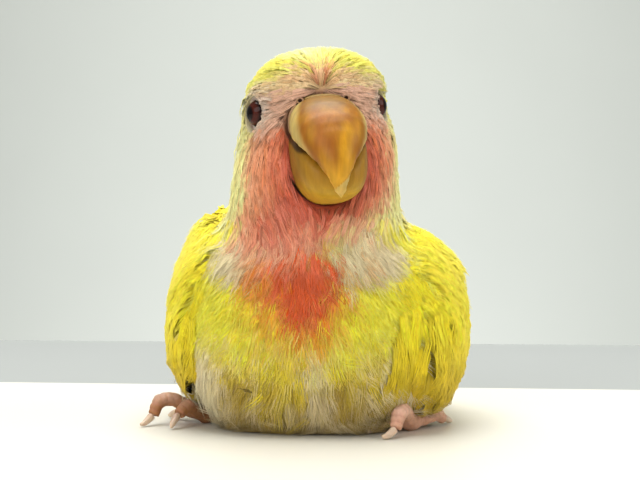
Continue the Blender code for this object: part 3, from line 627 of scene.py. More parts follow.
def grow_tufts(name, weight, seed, per_mm2, length, width, strands=5, lift=(0.0, 0.3), fan=1.5,
               rough=0.12, pale=0.25, vary=0.10, streak=0.0, root_shade=0.8, rings=2,
               jitter=0.4, flow=lie, longer=None, paint=marking):
    """Tufts of slivers wherever weight is above 0; the sizes are millimetres."""
    draw = np.random.default_rng(seed)
    root, normal = sample_roots(weight, per_mm2, draw)
    count = len(root)
    reach = length * draw.uniform(0.75, 1.2, count)
    if longer is not None:
        reach *= longer(root)
    reach = reach[:, None]
    spots, ways, ups = follow_coat(flow, root, normal, reach, rings, rough, draw)
    clear = np.ones(count, dtype=bool)
    for centre, gaze in (eye_frame(1), eye_frame(-1)):
        for place in spots[1:]:
            forward = (place - centre) @ gaze
            aside_of_eye = np.linalg.norm(place - centre - forward[:, None] * gaze, axis=1)
            clear &= (aside_of_eye > EYE_CLEARANCE) | (forward < -1.5)
    root, normal, reach = root[clear], normal[clear], reach[clear]
    spots, ways, ups = ([part[clear] for part in parts] for parts in (spots, ways, ups))
    count = len(root)
    spots[0] = root - normal * 0.1
    for k in range(1, rings + 1):
        rise = lift[0] + (lift[1] - lift[0]) * (k - 1) / (rings - 1)
        spots[k] = spots[k] + ups[k] * (rise + draw.normal(0, 0.08 + 0.04 * k, (count, 1)))
    lanes = (np.arange(strands) - 0.5 * (strands - 1))[None, :, None] * width * 0.7
    lanes = lanes + draw.normal(0, 0.25 * width, (count, strands, 1))
    stretch = draw.uniform(0.72, 1.08, (count, strands, 1))
    stray = draw.normal(0, 0.35 * width, (count, strands, 1))
    half = 0.5 * width * draw.uniform(0.75, 1.25, (count, strands, 1))
    sides = [unit(np.cross(way, up)) for way, up in zip(ways, ups)]
    centres = []
    for k in range(rings + 1):
        spread = 1 + (fan - 1) * FAN_AT[rings][k]
        centre = spots[k][:, None] + sides[k][:, None] * lanes * spread
        centres.append(centre + ups[k][:, None] * stray * FAN_AT[rings][k])
    centres[-1] = centres[-2] + (centres[-1] - centres[-2]) * stretch
    per_strand = 3 * rings + 1
    points = np.empty((count, strands, per_strand, 3))
    normals = np.empty_like(points)
    for ring in range(rings):
        side, up = sides[ring][:, None], ups[ring][:, None]
        for k, (sideways, rise) in enumerate(((1, 0), (-1, 0), (0, 1.1))):
            size = half * WIDTH_AT[rings][ring]
            points[:, :, 3 * ring + k] = centres[ring] + size * (side * sideways + up * rise)
            normals[:, :, 3 * ring + k] = unit(up + 0.45 * sideways * side)
    points[:, :, -1] = centres[-1]
    normals[:, :, -1] = ups[-1][:, None]

    along = np.append(np.repeat(np.arange(rings) / rings, 3), 1.0)[None, None, :, None]
    seen = root + ways[0] * reach * 0.55 + draw.normal(0, jitter, root.shape)
    base = paint(seen)[:, None, None]
    tone = 1 + vary * draw.normal(0, 0.7, (count, strands, 1, 1))
    tone = tone + vary * draw.normal(0, 0.7, (count, 1, 1, 1))
    lighter = np.clip(1.15 * base + 0.10, 0, 0.95)
    # Painted shade: each strand is darker at its root, where light is lost under the coat, and a touch lighter at
    # its tip.
    shade = root_shade + (1.04 - root_shade) * ease(along, 0.0, 0.6)
    bleach = pale * along * draw.uniform(0, 1.3, (count, strands, 1, 1))
    bleach = bleach + streak * draw.random((count, 1, 1, 1)) ** 3 * ease(along, -0.2, 0.4)
    colours = base * tone * shade
    colours = np.clip(colours + (lighter - colours) * np.clip(bleach, 0, 0.9), 0.004, 0.98)

    index = np.arange(count * strands)[:, None, None] * per_strand
    faces = (index + strand_faces(rings)[None]).reshape(-1, 3)
    lane = (np.arange(strands)[None, :, None] + np.append(np.tile([0, 0.5, 1], rings), 0.5)) / strands
    lane = np.broadcast_to(lane, (count, strands, per_strand))
    patch = np.stack([lane, np.broadcast_to(along[..., 0], lane.shape)], axis=-1)
    patches = unrolled(root)[:, None, None] + BAKE_PATCH * patch
    made = array_mesh(name, points.reshape(-1, 3), faces, colours.reshape(-1, 3),
                      normals.reshape(-1, 3), patches.reshape(-1, 2))
    print("%s: %d tufts, %d triangles" % (name, count, len(faces)))
    return made


# %% [markdown]
# ## Keratin and skin
# Feathers are keratin: dull at a glance, with a faint sheen on the shoulders of each barb. Their
# colour is carried by the points, and a fine grain of about 0.2 mm breaks it up. The skin under
# them has the same colours, a little darker, because light is lost between the tufts.

# %% Plumage materials
def attribute_material(name, roughness, sheen, darken=1.0, grain_mm=0.2, bump=0.25):
    made = bpy.data.materials.new(name)
    made.use_nodes = True
    tree = made.node_tree
    shader = tree.nodes["Principled BSDF"]
    shader.inputs["Roughness"].default_value = roughness
    shader.inputs["Specular IOR Level"].default_value = 0.18
    shader.inputs["Sheen Weight"].default_value = sheen
    shader.inputs["Sheen Roughness"].default_value = 0.6
    tinted = add_node(tree, "ShaderNodeAttribute", {}, attribute_name="Tint")
    place = add_node(tree, "ShaderNodeTexCoord", {})
    grain = add_node(tree, "ShaderNodeTexNoise", {"Vector": place.outputs["Object"],
                     "Scale": 1.0 / (grain_mm * MM), "Detail": 2.0})
    tone = add_node(tree, "ShaderNodeMapRange", {"Value": grain.outputs["Fac"],
                    "To Min": 0.86 * darken, "To Max": 1.12 * darken})
    colour = add_node(tree, "ShaderNodeVectorMath", {0: tinted.outputs["Color"],
                      "Scale": tone.outputs["Result"]}, operation="SCALE")
    relief = add_node(tree, "ShaderNodeBump", {"Height": grain.outputs["Fac"], "Strength": bump,
                      "Distance": 0.1 * MM})
    tree.links.new(colour.outputs["Vector"], shader.inputs["Base Color"])
    tree.links.new(relief.outputs["Normal"], shader.inputs["Normal"])
    return made


plume = attribute_material("down_and_feather_keratin", 0.75, 0.15)
vane_horn = attribute_material("wing_feather_keratin", 0.6, 0.05, grain_mm=0.35)
bare_skin = attribute_material("feather_bearing_skin", 0.8, 0.1, darken=0.7, grain_mm=0.5)

skin_tint = skin.data.color_attributes.new("Tint", "FLOAT_COLOR", "POINT")
skin_colours = marking(skin_mm)
skin_tint.data.foreach_set("color", np.column_stack([skin_colours, np.ones(len(skin_mm))]).ravel())
skin.data.materials.append(bare_skin)
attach(skin, "root")
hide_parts(*FLESH)

# %% [markdown]
# ## Dressing the body, region by region
# Short, flat tufts on the crown, fine ones round the eye and on the lores, long loose strands on
# cheeks and bib, and soft longer down on the breast, belly and flanks. Nothing grows where the
# bill, the eyes or the legs come through, nor on the flat patch that rests on the table.

# %% Where each kind of tuft grows
x, y, z = skin_mm.T
head_mm = to_head(skin_mm)
hx, hy, hz = head_mm.T
open_skin = ease(horn_away, 0.25, 0.55) * ease(eye_away, 0.75, 1.0) * ease(leg_away, 0.3, 0.8)
open_skin *= ease(z, 0.25, 0.8)
eye_border = ease(horn_away, 0.25, 0.55) * ease(eye_away, 0.3, 0.5) * (1 - ease(eye_away, 1.4, 2.2))
hem_zone = (1 - wing_near) * ease(leg_away, 0.3, 0.8) * ease(z, 0.8, 1.6) * (1 - ease(z, 5, 8)) * (1 - ease(y, 2, 8))
bare_of_wing = 1 - wing_near
trunk = open_skin * bare_of_wing * (1 - tail_near)
is_head = ease(z, 33, 37)
in_front = 1 - ease(hy, -16, -12)
below_brow = 1 - ease(hz, 61, 63.5)
face_zone = trunk * is_head * in_front * below_brow
fringe_zone = trunk * ease(z, 31.5, 33.5) * (1 - ease(z, 38, 41)) * (1 - ease(hy, -17, -13))
lore_zone = face_zone * ease(hz, 51, 54)
over_cere = open_skin * ease(hz, 58.0, 59.2) * (1 - ease(hz, 61, 63)) * (1 - ease(np.abs(hx), 6, 8.5))
over_cere *= 1 - ease(hy, -18, -15)
crown_zone = trunk * is_head * (1 - below_brow)
nape_zone = trunk * is_head * (1 - in_front) * below_brow
lower = trunk * (1 - is_head)
breast_zone = lower * (1 - ease(y, -8, 0))
back_zone = lower * ease(y, -8, 0)
fluff_zone = open_skin * (1 - wing_near * np.where(x > 0, 1.0, 0.85)) * (1 - ease(z, 9, 15)) * (1 - ease(y, -4, 6)) * ease(z, 0.5, 2.0)
beside_wing = (1 - ease(wing_away, 3.0, 6.0)) * (x > 0)
shoulder_zone = open_skin * np.maximum(wing_near, beside_wing) * (1 - ease(y, -10, -4)) * ease(z, 17, 23)
rump_zone = open_skin * (1 - tail_near) * ease(y, 30, 34)
wing_front = open_skin * np.maximum(wing_near, beside_wing * (x > 0)) * (1 - ease(y, -8, -1))
wing_front *= ease(z, 5, 8) * (1 - ease(z, 20, 24))
cape_zone = open_skin * ease(z, 28, 32) * (1 - ease(z, 40, 44)) * ease(y, -10, -5)


def hang(points):
    """Loose belly down hangs outwards over the table."""
    sideways = 0.35 * np.tanh(points[:, 0] / 8) + 0.25 * ripple(points, 3.0, 35)
    return unit(np.stack([sideways, np.full(len(points), -0.15), np.full(len(points), -0.9)], axis=1))


def wing_paint(points):
    """The folded wing stays yellow down to its edge; painted shade makes it a little deeper below."""
    return mix(np.tile(tint("CBAB12"), (len(points), 1)), YELLOW_BREAST, ease(points[:, 2], 5, 20))


def wing_lie(points):
    """Over the front of the wing the feathers run down and slightly inwards."""
    inwards = -0.1 - 0.25 * (1 - ease(points[:, 2], 8, 20))
    return unit(np.stack([inwards, np.full(len(points), 0.35), np.full(len(points), -1.0)], axis=1))


def from_eye(points):
    """Tiny feathers stand round the eye like rays."""
    side = np.where(to_head(points)[:, 0] > 0, 1.0, -1.0)[:, None]
    eyes = np.where(side > 0, turned(EYE_PLACE)[None], turned(EYE_PLACE * (-1, 1, 1))[None])
    return unit(unit(points - eyes) + 0.45 * lie(points))


def flank_longer(points):
    return 1 + 0.35 * ease(np.abs(points[:, 0]), 12, 18) * (1 - ease(points[:, 2], 10, 20))


coat = [
    grow_tufts("face_strands", face_zone * (1 - lore_zone), 21, 4.0, 7.2, 0.18, lift=(0.3, 0.6),
               fan=1.1, rough=0.07, pale=0.6, vary=0.2, streak=1.0, root_shade=0.45, rings=3),
    grow_tufts("bib_fringe", fringe_zone, 27, 4.5, 8.5, 0.17, lift=(0.7, 1.0), fan=1.3,
               rough=0.16, pale=0.8, vary=0.16, streak=0.6, rings=3),
    grow_tufts("lore_strands", lore_zone, 22, 6.5, 3.0, 0.14, lift=(0.08, 0.15), fan=1.2,
               rough=0.06, pale=0.8, vary=0.2, streak=0.6, root_shade=0.6),
    grow_tufts("eye_fringe", eye_border, 36, 7.0, 1.5, 0.11, strands=4, lift=(0.05, 0.15), fan=1.2,
               rough=0.06, pale=0.7, vary=0.15, streak=0.4, flow=from_eye),
    grow_tufts("hem_wisps", hem_zone, 37, 1.2, 7.5, 0.12, strands=6, lift=(1.6, 3.6), fan=2.6,
               rough=0.22, pale=1.0, vary=0.16, streak=0.7, jitter=2.2, flow=hang),
    grow_tufts("wing_front_tufts", wing_front, 40, 2.8, 6.6, 0.24, lift=(1.0, 1.3), fan=1.3, rough=0.06,
               pale=0.15, vary=0.1, streak=0.15, rings=3, flow=wing_lie, paint=wing_paint),
    grow_tufts("rump_down", rump_zone, 39, 1.5, 4.6, 0.28, strands=4, lift=(0.1, 0.3), rough=0.1,
               vary=0.08, streak=0.3),
    grow_tufts("brow_strands", over_cere, 29, 11.0, 5.5, 0.15, strands=4, lift=(0.8, 0.5), fan=1.1,
               rough=0.08, pale=1.0, vary=0.22, streak=0.8, root_shade=0.5, rings=3),
    grow_tufts("crown_tufts", crown_zone, 23, 4.1, 3.4, 0.22, strands=5, lift=(0.05, 0.15), fan=1.3,
               rough=0.08, vary=0.1, streak=0.3),
    grow_tufts("nape_tufts", nape_zone, 24, 2.1, 4.9, 0.28, strands=4, lift=(0.1, 0.25), rough=0.1, vary=0.09,
               streak=0.3),
    grow_tufts("breast_down_left", breast_zone * (x > 0), 25, 3.3, 6.6, 0.2, strands=5,
               lift=(0.3, 0.8), fan=2.0, rough=0.26, pale=0.6, vary=0.14, streak=0.5, root_shade=0.97,
               jitter=1.1, longer=flank_longer),
    grow_tufts("breast_down_right", breast_zone * (x <= 0), 30, 3.3, 6.6, 0.2, strands=5,
               lift=(0.3, 0.8), fan=2.0, rough=0.26, pale=0.6, vary=0.14, streak=0.5, root_shade=0.97,
               jitter=1.1, longer=flank_longer),
    grow_tufts("belly_fluff", fluff_zone, 28, 1.7, 7.5, 0.15, strands=6, lift=(0.8, 2.6), fan=2.2,
               rough=0.16, pale=0.9, vary=0.12, jitter=1.5, flow=hang),
    grow_tufts("shoulder_tufts", shoulder_zone, 33, 3.1, 4.8, 0.23, lift=(0.7, 1.0), fan=1.4,
               rough=0.12, pale=0.1, vary=0.08, streak=0.15),
    grow_tufts("cape_tufts", cape_zone, 34, 1.7, 5.4, 0.28, strands=4, lift=(0.9, 1.3), fan=1.4, rough=0.1,
               vary=0.08, streak=0.3),
    grow_tufts("back_down", back_zone, 26, 0.5, 5.4, 0.34, strands=4, lift=(0.0, 0.1), rough=0.1, vary=0.07),
]
PEACH = dict.fromkeys(("face_strands", "bib_fringe", "lore_strands", "brow_strands"), "plumage_peach")
for tufts in coat:
    tufts.data.materials.append(plume)
    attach(tufts, "root")

# %% [markdown]
# ## Wings and tail
# A folded wing is tiles on a curved roof. The long flight feathers start far back, and each row
# of coverts lies over the roots of the row behind it. Every feather is one closed blade: it is
# cambered across, its rim is a little ragged, and the surface of the folded wing, the same as in
# the solids, bends it round the body.

# %% The curved roof that the wing feathers lie on
HULL_ROWS = np.array([
    (46, 9.6, 78, 9, 6, 7.4), (37.5, 10.6, 72, 11, 7, 8.4), (31, 11.6, 65, 14.2, 10, 10.6),
    (23, 13.4, 57, 18.6, 16.5, 12.2), (14, 16.6, 49, 22.3, 24.5, 14), (6, 20.5, 41, 24, 30.5, 14.5),
    (0.3, 24.5, 33, 24.3, 29, 14.3), (-3.5, 28.3, 26, 23.2, 24.3, 14.1),
    (-6.6, 32.2, 22, 20.6, 20, 13.8), (-8.8, 36, 22, 16.7, 16.4, 13.5),
    (-9.9, 39.6, 23, 15.4, 13.2, 13), (-10.6, 43.5, 19, 15.1, 12.2, 12.8)], dtype=float)
BELLY_ROUND, BACK_ROUND = 2.7, 2.15
FULL_WIDTH = 22.3
WING_TURN, WING_MIDDLE = 20.0, math.radians(78)
WING_SIDES = {
    # front stop on the hull, droop, shoulder lift, shoulder swell, bulk, lowest feather
    "left": (8.45, 0.3, 0.0, -0.7, 0.9, 23.0),
    "right": (9.3, -3.5, 1.5, 5.0, 1.05, 15.0),
}


def rows_at(rows, at):
    """Rows read at fractions, by a Catmull-Rom curve through them."""
    last = len(rows) - 1
    at = np.clip(at, 0, last)
    first = np.minimum(at.astype(int), last - 1)
    t = (at - first)[..., None]
    padded = np.vstack([2 * rows[0] - rows[1], rows, 2 * rows[-1] - rows[-2]])
    a, b, c, d = (padded[first + k] for k in range(4))
    return b + 0.5 * t * (c - a + t * (2 * a - 5 * b + 4 * c - d + t * (3 * b - a - 3 * c + d)))


def hull_point(at, angle, stand):
    """A point on the body's section, at an angle from the middle of the back."""
    y0, z0, lean, half_width, belly, back = np.moveaxis(rows_at(HULL_ROWS, at), -1, 0)
    c, s = np.cos(angle), np.sin(angle)
    power = 2 / np.where(c > 0, BACK_ROUND, BELLY_ROUND)
    reach = np.sign(c) * np.abs(c) ** power * (np.where(c > 0, back, belly) + stand)
    side = np.sign(s) * np.abs(s) ** power * (half_width + stand)
    lean = np.radians(lean)
    points = np.stack([side, y0 + reach * np.cos(lean), z0 + reach * np.sin(lean)], axis=-1)
    share = ease(at - 1, 7.6, 10.4)[..., None]
    return points + share * ((points - HEAD_PIVOT) @ HEAD_TURN.T + HEAD_PIVOT - points)


def walk_spine(front):
    """Stops along the hull from the front, and the millimetres walked to each."""
    stops = np.linspace(front, 0, 90)
    spine = rows_at(HULL_ROWS, stops)[:, :2]
    step = np.linalg.norm(np.diff(spine, axis=0), axis=1)
    return np.concatenate([[0.0], np.cumsum(step)]), stops


def wing_roof(name):
    front, droop, shoulder_lift, swell, bulk, lowest = WING_SIDES[name]
    sign = 1 if name == "left" else -1
    walked, stops = walk_spine(front)

    def place(u, v, h):
        """u back along the wing, v down, h outwards, all in millimetres."""
        u, v, h = np.broadcast_arrays(np.asarray(u, dtype=float), v, h)
        at = np.interp(u, walked, stops)
        hold = WING_TURN * np.minimum(rows_at(HULL_ROWS, at)[..., 3] / FULL_WIDTH, 1.0)
        settle = ease(u, 0, 20)
        angle = sign * (WING_MIDDLE + (v + droop * settle - shoulder_lift * (1 - settle)) / hold)
        shoulder = (1 - ease(u, 2, 18)) * ease(v, -17, -8) * (1 - ease(v, -5, 6))
        tucked = ease(v, lowest - 9, lowest - 1) * (1 - ease(u, 8, 22))
        stand = 0.85 - 0.5 * tucked + bulk * h * (1 - 0.6 * tucked) + swell * shoulder * np.minimum(h, 1.0)
        points = hull_point(at, angle, stand)
        points[..., 2] = np.maximum(points[..., 2], 0.7 + 0.4 * h)
        return points

    return place


BACK_WALK, BACK_STOPS = walk_spine(10.4)


def back_roof(u, v, h):
    """u from nape to rump, v to the side, h outwards."""
    u, v, h = np.broadcast_arrays(np.asarray(u, dtype=float), v, h)
    at = np.interp(u, BACK_WALK, BACK_STOPS)
    return hull_point(at, v / (0.9 * rows_at(HULL_ROWS, at)[..., 3]), 0.5 + h)


def tail_roof(u, v, h):
    """u back along the tail; the upper side climbs the rump in front of it."""
    u, v, h = np.broadcast_arrays(np.asarray(u, dtype=float), v, h)
    climb = np.exp(-np.maximum(u, -4.0) / 6.0) * (h > -2)
    droop = (0.012 + 0.05 * climb) * v * v
    return np.stack([v, 38.5 + u, 9.9 - 0.3 * u + 0.0021 * u * u + 3.9 * climb - droop + h], axis=-1)


# %% One blade, and a mesh of many
ALONG, ACROSS = 14, 9
BLADE_OUTLINE = ((0.0, 0.10, 0.35, 0.75, 0.90, 0.97, 1.0), (0.30, 0.65, 0.96, 1.0, 0.80, 0.50, 0.12))


def blade_faces():
    """Triangles of a closed blade: the top, the underside and the rim between them."""
    at = np.arange(ALONG * ACROSS).reshape(ALONG, ACROSS)
    quads = np.stack([at[:-1, :-1], at[:-1, 1:], at[1:, 1:], at[1:, :-1]], axis=-1).reshape(-1, 4)
    under = quads[:, ::-1] + ALONG * ACROSS
    loop = np.concatenate([at[0, :-1], at[:-1, -1], at[-1, :0:-1], at[:0:-1, 0]])
    after = np.roll(loop, -1)
    rim = np.stack([after, loop, loop + ALONG * ACROSS, after + ALONG * ACROSS], axis=-1)
    quads = np.concatenate([quads, under, rim])
    return np.concatenate([quads[:, [0, 1, 2]], quads[:, [0, 2, 3]]])


BLADE_FACES = blade_faces()


def make_blade(roof, flip, root, tip, width, lift, tilt, draw, camber=0.35, ragged=0.05, thick=0.14):
    """Points and shading normals of one feather on a roof, from root (u, v) to tip (u, v)."""
    t = np.linspace(0, 1, ALONG)[:, None]
    c = np.linspace(-1, 1, ACROSS)[None, :]
    half = 0.5 * width * np.interp(t, *BLADE_OUTLINE)
    reach = t * (1 - ragged * draw.random((1, ACROSS)) * t)
    u = root[0] + reach * (tip[0] - root[0])
    v = root[1] + t * (tip[1] - root[1]) + c * half
    rachis = 0.10 * np.exp(-(c / 0.14) ** 2) * (1 - t)
    h = lift[0] + t * (lift[1] - lift[0]) + camber * (1 - c * c) + tilt * c + rachis
    h = h + 0.05 * np.sin(5 * c + 9 * t + draw.uniform(0, 6))
    top = roof(u, v, h)
    low = roof(u, v, h - thick * (1.05 - c * c))
    along = np.gradient(top, axis=0)
    cross = np.gradient(top, axis=1)
    normal = unit(np.cross(cross, along)) * flip
    points = np.concatenate([top.reshape(-1, 3), low.reshape(-1, 3)])
    normals = np.concatenate([normal.reshape(-1, 3), -normal.reshape(-1, 3)])
    spec = (*root, *tip, width, *lift)
    return points, normals, np.broadcast_to(t, u.shape).ravel(), np.broadcast_to(c, u.shape).ravel(), spec


def blade_mesh(name, blades, flip, colour_of):
    points, normals, colours, patches, vanes = [], [], [], [], []
    for blade, width, reach, tone in blades:
        p, n, t, c = blade[:4]
        points.append(p)
        normals.append(n)
        colours.append(np.tile(colour_of(p[:len(t)], t, c, np.array(tone)[:, None]), (2, 1)))
        root = unrolled(p[ACROSS // 2:ACROSS // 2 + 1])
        patches.append(root + BAKE_PATCH * np.tile(np.stack([0.5 + 0.5 * c, t], axis=1), (2, 1)))
        vanes.append(np.tile(np.stack([0.5 * c * width, t * reach], axis=1), (2, 1)))
    per_blade = 2 * ALONG * ACROSS
    faces = BLADE_FACES if flip > 0 else BLADE_FACES[:, ::-1]
    faces = (np.arange(len(blades))[:, None, None] * per_blade + faces[None]).reshape(-1, 3)
    made = array_mesh(name, np.concatenate(points), faces, np.concatenate(colours),
                      np.concatenate(normals), np.concatenate(patches))
    barbs = made.data.uv_layers.new(name="Barbs")
    barbs.data.foreach_set("uv", np.concatenate(vanes)[faces.ravel()].ravel())
    print("%s: %d feathers, %d triangles" % (name, len(blades), len(faces)))
    return made


def grow_barbs(name, roof, flip, blades, colour_of, seed, per_blade=26):
    """Loose barbs along the rims of the feathers, so that no vane ends in a hard line."""
    draw = np.random.default_rng(seed)
    specs = np.array([blade[0][4] for blade in blades])
    tones = np.array([(*blade[3], 0.0)[:2] for blade in blades])
    specs = np.repeat(specs, per_blade, axis=0)
    tones = np.repeat(tones, per_blade, axis=0).T
    root_u, root_v, tip_u, tip_v, width, low, high = specs.T
    count = len(specs)
    t = 1 - 0.75 * draw.random(count) ** 1.6
    c = draw.choice((-1, 1), count) * draw.uniform(0.45, 0.95, count)
    half = 0.5 * width * np.interp(t, *BLADE_OUTLINE)
    swing = np.radians(draw.uniform(12, 38, count)) * np.sign(c) * (1.1 - t)
    reach = draw.uniform(1.0, 2.4, count) * np.minimum(1.0, width / 3.6)
    u = root_u + t * (tip_u - root_u) * 0.97
    v = root_v + t * (tip_v - root_v) + c * half
    h = low + t * (high - low) + 0.35 * (1 - c * c)
    stations = [roof(u + k * reach * np.cos(swing), v + k * reach * np.sin(swing),
                     h + rise + draw.normal(0, 0.04, count)) for k, rise in ((0, 0.0), (0.55, 0.16), (1, 0.1))]
    up = unit(roof(u, v, h + 1.0) - stations[0])
    side = unit(np.cross(stations[2] - stations[0], up))
    thick = draw.uniform(0.07, 0.13, count)[:, None]
    points, normals = np.empty((count, 7, 3)), np.empty((count, 7, 3))
    for ring in range(2):
        for k, (sideways, rise) in enumerate(((1, 0), (-1, 0), (0, 0.8))):
            points[:, 3 * ring + k] = stations[ring] + thick * (side * sideways + up * rise)
            normals[:, 3 * ring + k] = unit(up + 0.3 * sideways * side)
    points[:, 6] = stations[2]
    normals[:, 6] = up
    colours = colour_of(stations[1], t, c, tones) * draw.uniform(0.88, 1.14, count)[:, None]
    colours = np.repeat(np.clip(colours, 0, 0.98), 7, axis=0)
    faces = (np.arange(count)[:, None, None] * 7 + strand_faces(2)[None]).reshape(-1, 3)
    spread = np.array([(0, 0), (0.5, 0), (1, 0), (0, 0.5), (0.5, 0.5), (1, 0.5), (0.5, 1)])
    patches = unrolled(stations[0])[:, None] + BAKE_PATCH * spread[None]
    made = array_mesh(name, points.reshape(-1, 3), faces, colours, normals.reshape(-1, 3),
                      patches.reshape(-1, 2))
    made.data.materials.append(plume)
    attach(made, "root")
    print("%s: %d barbs, %d triangles" % (name, count, len(faces)))


# %% [markdown]
# ## A vane's barbs
# Barbs leave the shaft at about 45 degrees and lie 0.3 to 0.4 mm apart. They are drawn from the
# feather's own map, which counts millimetres across and along the vane: a slanted wave gives
# both a faint stripe and a shallow relief, and noise splits the stripe here and there.

# %% Flight feather keratin with barbs
BARB_SPACING = 0.38
tree = vane_horn.node_tree
shader = tree.nodes["Principled BSDF"]
vane_map = add_node(tree, "ShaderNodeUVMap", {}, uv_map="Barbs")
parts = add_node(tree, "ShaderNodeSeparateXYZ", {"Vector": vane_map.outputs["UV"]})
across = add_node(tree, "ShaderNodeMath", {0: parts.outputs["X"]}, operation="ABSOLUTE")
slant = add_node(tree, "ShaderNodeMath", {0: parts.outputs["Y"], 1: across.outputs["Value"]},
                 operation="SUBTRACT")
loose = add_node(tree, "ShaderNodeTexNoise", {"Vector": vane_map.outputs["UV"], "Scale": 0.9,
                 "Detail": 3.0})
bent = add_node(tree, "ShaderNodeMath", {0: loose.outputs["Fac"], 1: 1.3, 2: slant.outputs["Value"]},
                operation="MULTIPLY_ADD")
turns = add_node(tree, "ShaderNodeMath", {0: bent.outputs["Value"], 1: math.tau / BARB_SPACING},
                 operation="MULTIPLY")
wave = add_node(tree, "ShaderNodeMath", {0: turns.outputs["Value"]}, operation="SINE")
stripe = add_node(tree, "ShaderNodeMapRange", {"Value": wave.outputs["Value"], "From Min": -1.0,
                  "To Min": 0.88, "To Max": 1.07})
tinted = add_node(tree, "ShaderNodeAttribute", {}, attribute_name="Tint")
striped = add_node(tree, "ShaderNodeVectorMath", {0: tinted.outputs["Color"],
                   "Scale": stripe.outputs["Result"]}, operation="SCALE")
barb_relief = add_node(tree, "ShaderNodeBump", {"Height": wave.outputs["Value"], "Strength": 0.35,
                       "Distance": 0.05 * MM})
tree.links.new(striped.outputs["Vector"], shader.inputs["Base Color"])
tree.links.new(barb_relief.outputs["Normal"], shader.inputs["Normal"])

# %% [markdown]
# ## The rows of the folded wing
# Seven rows a wing, from the long primaries at the tip to the tiny marginal coverts at the bend.
# The rows are put down from the back forwards. Each row's feathers tilt a little, so that one
# edge of each lies over its neighbour.

# %% Lay the rows
WING_ROWS = (
    # count, root u, tip u low and high, root v low and high, width, lift at root and tip, squeeze, fall
    ("primary", 10, 24.0, (57.5, 53.0), (16.5, 2.0), 5.2, (0.6, 0.9), 0.62, 0.6),
    ("secondary", 10, 22.0, (53.0, 49.0), (6.0, -17.5), 5.6, (1.1, 1.3), 0.64, 0.6),
    ("greater_covert", 14, 13.0, (32.0, 29.0), (16.5, -18.5), 5.2, (1.0, 1.9), 0.95, 1.4),
    ("median_covert", 15, 7.5, (22.5, 20.5), (18.5, -17.5), 4.6, (1.1, 2.4), 0.96, 2.2),
    ("lesser_covert", 16, 3.0, (15.5, 14.0), (20.5, -15.0), 4.0, (1.0, 2.6), 0.97, 3.0),
    ("lesser_covert", 15, 1.2, (9.5, 9.5), (21.0, -12.0), 3.6, (0.6, 2.5), 0.98, 4.0),
    ("marginal_covert", 14, 0.2, (5.2, 5.6), (18.0, -9.0), 3.0, (0.1, 2.2), 1.0, 4.5),
)
# The second, deeper yellow is painted shade for the wing's lower edge.
WING_TOP, WING_LOW_SHADE = tint("FFE610"), tint("D2B414")
WING_RIM = tint("FBF3A8")
QUILL_PINK = tint("D9B98C")
SOFT_FRONT, SOFT_TOP = (-5.0, 21.0), 27.0


def wing_colour(p, t, c, tone):
    # Painted shade: the wing darkens towards its lower edge, and each feather is darker near its root, under the row
    # that lies over it.
    side = ease(p[:, 2], 4, 24)
    colour = mix(np.tile(WING_LOW_SHADE, (len(p), 1)), WING_TOP, side) * tone[0][:, None]
    colour = mix(colour, WING_RIM, 0.24 * ease(np.maximum(np.abs(c), t), 0.85, 1.0))
    colour = mix(colour, QUILL_PINK, tone[1] * ease(np.abs(c), 0.55, 0.95) * ease(t, 0.35, 0.8))
    quill = 1 - 0.16 * np.exp(-(c / 0.16) ** 2)
    return np.clip(colour * (quill * (0.82 + 0.2 * ease(t, 0.1, 0.5)))[:, None], 0, 0.98)


def lay_wing(name, seed):
    draw = np.random.default_rng(seed)
    roof = wing_roof(name)
    flip = 1 if name == "left" else -1
    blades = []
    for kind, count, root_u, tip_us, (low, high), width, lift, squeeze, fall in WING_ROWS:
        low = min(low, WING_SIDES[name][5])
        for k in range(count):
            q = k / (count - 1)
            v = low + q * (high - low) + draw.uniform(-0.3, 0.3)
            tip_u = tip_us[0] + q * (tip_us[1] - tip_us[0]) + draw.uniform(-0.9, 0.9)
            tip = (tip_u, v * squeeze + fall * (1 - 0.6 * q))
            root = (root_u + draw.uniform(-0.6, 0.6), v)
            if kind in ("primary", "secondary"):
                raised = (lift[0], lift[1] + 0.5 * q)
            else:
                raised = (lift[0], lift[1] + draw.uniform(-0.15, 0.25))
            wide = width * draw.uniform(0.92, 1.12)
            end = roof(tip[0], tip[1], 0.0)
            if end[1] < SOFT_FRONT[0] and abs(end[0]) < SOFT_FRONT[1]:
                continue
            if kind == "marginal_covert" and end[2] > SOFT_TOP:
                continue
            blade = make_blade(roof, flip, root, tip, wide, raised, 0.12, draw,
                               camber=0.25 if kind == "primary" else 0.4)
            pink = 0.75 * (1 - q) if kind == "primary" else 0.0
            blades.append((blade, wide, tip[0] - root[0], (draw.uniform(0.9, 1.06), pink)))
    made = blade_mesh("wing_feathers_" + name, blades, flip, wing_colour)
    grow_barbs("wing_barbs_" + name, roof, flip, blades, wing_colour, seed + 10)
    made.data.materials.append(vane_horn)
    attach(made, "root")


lay_wing("left", 31)
lay_wing("right", 32)

# %% Feathers of the mantle, back and rump
MANTLE_ROWS, MANTLE_STEP = 16, 3.4


def back_colour(p, t, c, tone):
    colour = np.tile(YELLOW_BACK, (len(p), 1)) * tone[0][:, None]
    colour = mix(colour, WING_RIM, 0.25 * ease(np.maximum(np.abs(c), t), 0.8, 1.0))
    # Painted shade: each feather is darker near its root, under the row that lies over it.
    return np.clip(colour * (0.8 + 0.22 * ease(t, 0.1, 0.6))[:, None], 0, 0.98)


